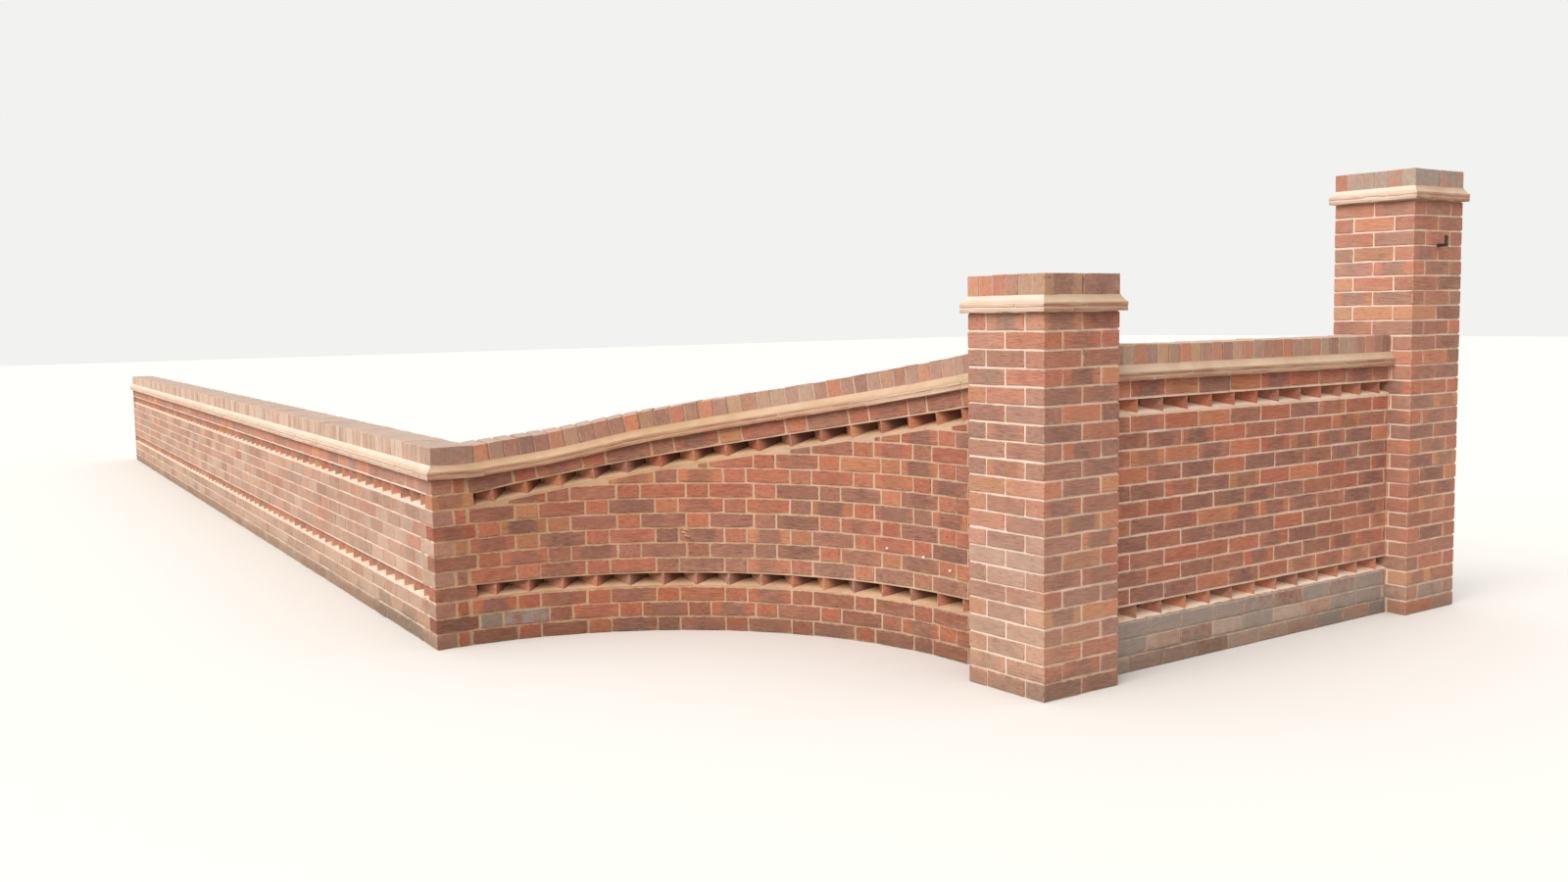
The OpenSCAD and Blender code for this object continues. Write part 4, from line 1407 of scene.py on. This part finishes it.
# %% Fillets on the piers
def pier_fillet(pier, y, base):
    """A low hollow pyramid: a square sheet, extruded in steps that are each drawn in and lifted."""
    bm = bmesh.new()
    wide, narrow = PIER / 2 + PIER_OVERHANG - 0.002, PIER / 2 + 0.002
    low, high = base + LIP_TOP, base + FILLET_TOP
    bmesh.ops.create_grid(bm, x_segments=14, y_segments=14, size=wide)
    bmesh.ops.translate(bm, verts=bm.verts, vec=(0, y, base + LIP_FOOT))
    sheet, reach, centred = list(bm.faces), wide, Matrix.Translation((0, -y, 0))
    for out, up in FILLET_STEPS:
        grown = bmesh.ops.extrude_face_region(bm, geom=sheet)["geom"]
        verts = [v for v in grown if isinstance(v, bmesh.types.BMVert)]
        sheet = [f for f in grown if isinstance(f, bmesh.types.BMFace)]
        rim = wide + (narrow - wide) * out
        bmesh.ops.scale(bm, verts=verts, vec=(rim / reach, rim / reach, 1), space=centred)
        for vert in verts:
            vert.co.z = low + (high - low) * up
        reach = rim
    for vert in bm.verts:
        vert.co += noise.noise_vector(vert.co * 10.0) * 0.0014
    side = PIER / 2 + PIER_OVERHANG - INSET
    corners = (-side, y - side, base), (side, y + side, base + TILES_TOP)
    rough_block(bm, *corners, (8, 8, 0), 0.0015)
    make_piece(pier + "_fillet_mortar", bm, MAT_BED, [pier + "_fillet"])


pier_fillet("front_pier", 0.0, FRONT_TOP)
pier_fillet("rear_pier", REAR_Y, REAR_TOP)

# %% [markdown]
# ## Brick on edge
# The coping is bricks stood on edge across the wall. A brick keeps its own axes here, length, width and
# height, so its creases run the right way after it is stood up. The joints are filled flush with a
# weathered mortar that hardly shows, and the tops never line up quite. The brick at the street corner
# is a wide plum one that is cut to the corner's angle.

# %% Copings of the walls
STAND = Matrix(((0, 0, 1, 0), (1, 0, 0, 0), (0, 1, 0, 0), (0, 0, 0, 1)))
COPING_Z = CREASING + BED + BRICK_W / 2
EDGE_SIZE = (BRICK_L, BRICK_W, BRICK_H + 0.003)
COPING_RECESS, COPING_DIP = 0.0042, 0.0055


def lay_coping(work, run, start, end, base, climb=level, clips=()):
    """Bricks on edge from start to end, the spacing evened out so that they fill the run."""
    count = round((end - start) / COURSE)
    for i in range(count):
        u = start + (i + 0.5) * (end - start) / count
        z = base + COPING_Z + work.dice.uniform(-0.0018, 0.0012)
        work.lay(place_at(run, u, WALL_MID, z, climb) @ STAND, EDGE_SIZE, clips=clips)


def coping_joints(wall, run, start, end, base, climb):
    """The mortar between the bricks on edge."""
    bm = bmesh.new()
    top = base + CREASING + BED + BRICK_W - COPING_DIP
    section = box_section(COPING_RECESS, BRICK_L - COPING_RECESS, base + CREASING - 0.002, top, 4)
    draw_along(bm, run, start, end, section, step=0.0375, climb=climb, rough=0.0008)
    make_piece(wall + "_coping_mortar", bm, MAT_JOINT)


work = Brickwork("street_coping_bricks", 71, (0.04, 0.0, 0.90), bright=(0.90, 1.10))
lay_coping(work, street_run, -STREET_L, -COURSE, STREET_TOP)
last = place_at(street_run, -0.022, WALL_MID, STREET_TOP + COPING_Z) @ STAND
look = {"tone": (0.06, 1.06, 0.6), "age": (0.25, 0.0, 0.40)}
work.lay(last, (BRICK_L, BRICK_W, 0.092), clips=[pushed(CHORD_FACE, 0.001)], **look)
work.finish(MAT_EDGE, "coping_brick", ["street_coping"])
coping_joints("street", street_run, -STREET_L + 0.002, -0.03, STREET_TOP, level)

work = Brickwork("curve_coping_bricks", 72, (0.22, 0.0, 0.30), crooked=1.8, bright=(0.90, 1.12))
lay_coping(work, curve_run, BRICK_L + 0.004, PATH_L - 0.004, STREET_TOP, eased_ramp, [PIER_LEFT])
work.finish(MAT_EDGE, "coping_brick", ["curve_coping"])
coping_joints("curve", curve_run, BRICK_L - 0.012, PATH_L + 0.01, STREET_TOP, eased_ramp)

work = Brickwork("return_coping_bricks", 73, (0.32, 0.0, 0.62), crooked=1.4, bright=(0.92, 1.12))
lay_coping(work, return_run, 0.004, RETURN_L - 0.004, RETURN_TOP)
work.finish(MAT_EDGE, "coping_brick", ["return_coping"])
coping_joints("return", return_run, -0.005, RETURN_L + 0.005, RETURN_TOP, level)

# %% [markdown]
# A pier is capped by twelve of the same bricks on edge, six across and two deep. The front cap is
# clean. Its six street-side bricks run from orange to tan, and the last one behind them is plum: these
# seven are listed. The rear cap, which stands in more shade, has gone grey with lichen.


# %% Caps of the piers
CAP_RECESS, CAP_DIP = 0.0040, 0.0050


def pier_cap(pier, y, base, seed, age, chosen=()):
    """Twelve bricks on edge, six across and two deep, with a block of mortar between them."""
    work = Brickwork(pier + "_cap_bricks", seed, age)
    for i in range(6):
        for row in (-1, 1):
            spot = ((i - 2.5) * (PIER - BRICK_H) / 5, y + row * (BRICK_L + JOINT) / 2, base + COPING_Z)
            tone = chosen[i if row < 0 else 6] if chosen and (row < 0 or i == 5) else None
            work.lay(Matrix.Translation(spot) @ STAND, EDGE_SIZE, tone=tone)
    work.finish(MAT_EDGE, "coping_brick", [pier + "_cap"])
    bm = bmesh.new()
    side, top = PIER / 2 - CAP_RECESS, base + CREASING + BED + BRICK_W - CAP_DIP
    corners = (-side, y - side, base + CREASING - 0.002), (side, y + side, top)
    rough_block(bm, *corners, (6, 6, 3), 0.0008)
    make_piece(pier + "_cap_mortar", bm, MAT_JOINT)


ORANGE, RED, PINK, TAN = (0.71, 1.14, 0.0), (0.58, 1.08, 0.1), (0.52, 1.00, 0.0), (0.93, 1.02, 0.9)
PLUM = (0.12, 1.06, 0.8)
front_tones = (ORANGE, ORANGE, RED, PINK, TAN, TAN, PLUM)
pier_cap("front_pier", 0.0, FRONT_TOP, 74, (0.06, 0.0, 0.26), front_tones)
pier_cap("rear_pier", REAR_Y, REAR_TOP, 75, (0.50, 0.10, 0.38))

# %% [markdown]
# ## The gate hook
# A square iron bar is driven into a joint of the rear pier, and a round pin stands on its end for the
# gate to turn on. Here the bar has bevelled edges, and the pin is three cones on one axis: a forged
# collar, the shank and a chamfered top. Each has a lower and an upper radius and two heights.

# %% Hook
BAR_SIZE, BAR_OUT, PIN_OUT = (0.062, 0.0155, 0.0155), 0.019, 0.042
COLLAR, SHANK = (0.0095, 0.008, 0.006, 0.013), (0.008, 0.008, -0.008, 0.047)
CHAMFER = (0.008, 0.0062, 0.047, 0.050)

bm = bmesh.new()
place = Matrix.Translation((PIER / 2 + BAR_OUT, REAR_Y, HOOK_Z)) @ Matrix.Diagonal((*BAR_SIZE, 1.0))
bmesh.ops.create_cube(bm, size=1.0, matrix=place)
smooth = dict(segments=2, profile=0.5, affect="EDGES", material=-1)
bmesh.ops.bevel(bm, geom=list(bm.edges), offset=0.002, **smooth)
for wide, narrow, low, high in (COLLAR, SHANK, CHAMFER):
    pin = Matrix.Translation((PIER / 2 + PIN_OUT, REAR_Y, HOOK_Z + (low + high) / 2))
    sizes = dict(radius1=wide, radius2=narrow, depth=high - low)
    bmesh.ops.create_cone(bm, cap_ends=True, segments=32, matrix=pin, **sizes)
make_piece("gate_hook_iron", bm, MAT_IRON, ["gate_hook"])
print("all pieces together have", sum(TRIANGLES.values()), "triangles")

# %% [markdown]
# ## Floor
# A plain pale floor carries the wall's shadow. What the camera sees of it is pale, but the light that it
# throws back on the wall is that of a dull footway, so the floor has two colours: one for the camera
# and one for all other rays.

# %% Floor
bm = bmesh.new()
bmesh.ops.create_grid(bm, x_segments=1, y_segments=1, size=60.0)
mesh = bpy.data.meshes.new("floor")
bm.to_mesh(mesh)
bm.free()
floor = bpy.data.objects.new("floor", mesh)
bpy.context.scene.collection.objects.link(floor)
floor_finish, tree = blank_material("pale_floor")
rays = add(tree, "LightPath").outputs
seen = maths(tree, "MAXIMUM", rays["Is Camera Ray"], rays["Is Glossy Ray"])
seen = maths(tree, "MAXIMUM", seen, rays["Is Transmission Ray"])
tint = blend(tree, seen, colour("#918C86"), colour("#D8D4CE"))
shader = add(tree, "BsdfPrincipled", {"Base Color": tint, "Roughness": 0.9})
add(tree, "OutputMaterial", {"Surface": shader.outputs[0]})
mesh.materials.append(floor_finish)
print("floor laid")

# %% [markdown]
# ## Sky and lamp
# The light is that of an overcast day: a sky that is brightest overhead and dimmer at its rim, so that
# hollows and the undersides of the tiles darken, and a broad soft lamp on the street side, which makes
# the street faces the lighter ones. The camera, and mirror-like surfaces, see a plain pale backdrop
# instead of that sky.

# %% Sky and lamp
SKY_TOP, SKY_RIM, LAMP = 1.29, 0.62, 2.45
scene = bpy.context.scene
scene.view_settings.view_transform = "Standard"
world = bpy.data.worlds.new("studio")
scene.world = world
world.use_nodes = True
tree = world.node_tree
tree.nodes.clear()
rays = add(tree, "LightPath").outputs
seen = maths(tree, "MAXIMUM", rays["Is Camera Ray"], rays["Is Glossy Ray"])
seen = maths(tree, "MAXIMUM", seen, rays["Is Transmission Ray"])
upward = add(tree, "SeparateXYZ", {0: add(tree, "TexCoord").outputs["Generated"]}).outputs[2]
strength = patches(tree, upward, 0.0, 0.9, SKY_RIM, SKY_TOP)
sky = add(tree, "Background", {"Color": colour("#F4F4F6"), "Strength": strength})
backdrop = add(tree, "Background", {"Color": colour("#F2F2F0"), "Strength": 1.0})
mixed = add(tree, "MixShader", {0: seen, 1: sky.outputs[0], 2: backdrop.outputs[0]})
add(tree, "OutputWorld", {"Surface": mixed.outputs[0]})

sun = bpy.data.lights.new("soft_street_side", "SUN")
sun.energy, sun.angle = LAMP, math.radians(50)
sun.color = (1.0, 0.97, 0.93)
lamp = bpy.data.objects.new("soft_street_side", sun)
lamp.matrix_world = Vector((0.32, -1.0, 1.10)).to_track_quat("Z", "Y").to_matrix().to_4x4()
scene.collection.objects.link(lamp)
print("lamp", LAMP, "sky", SKY_RIM, "to", SKY_TOP)
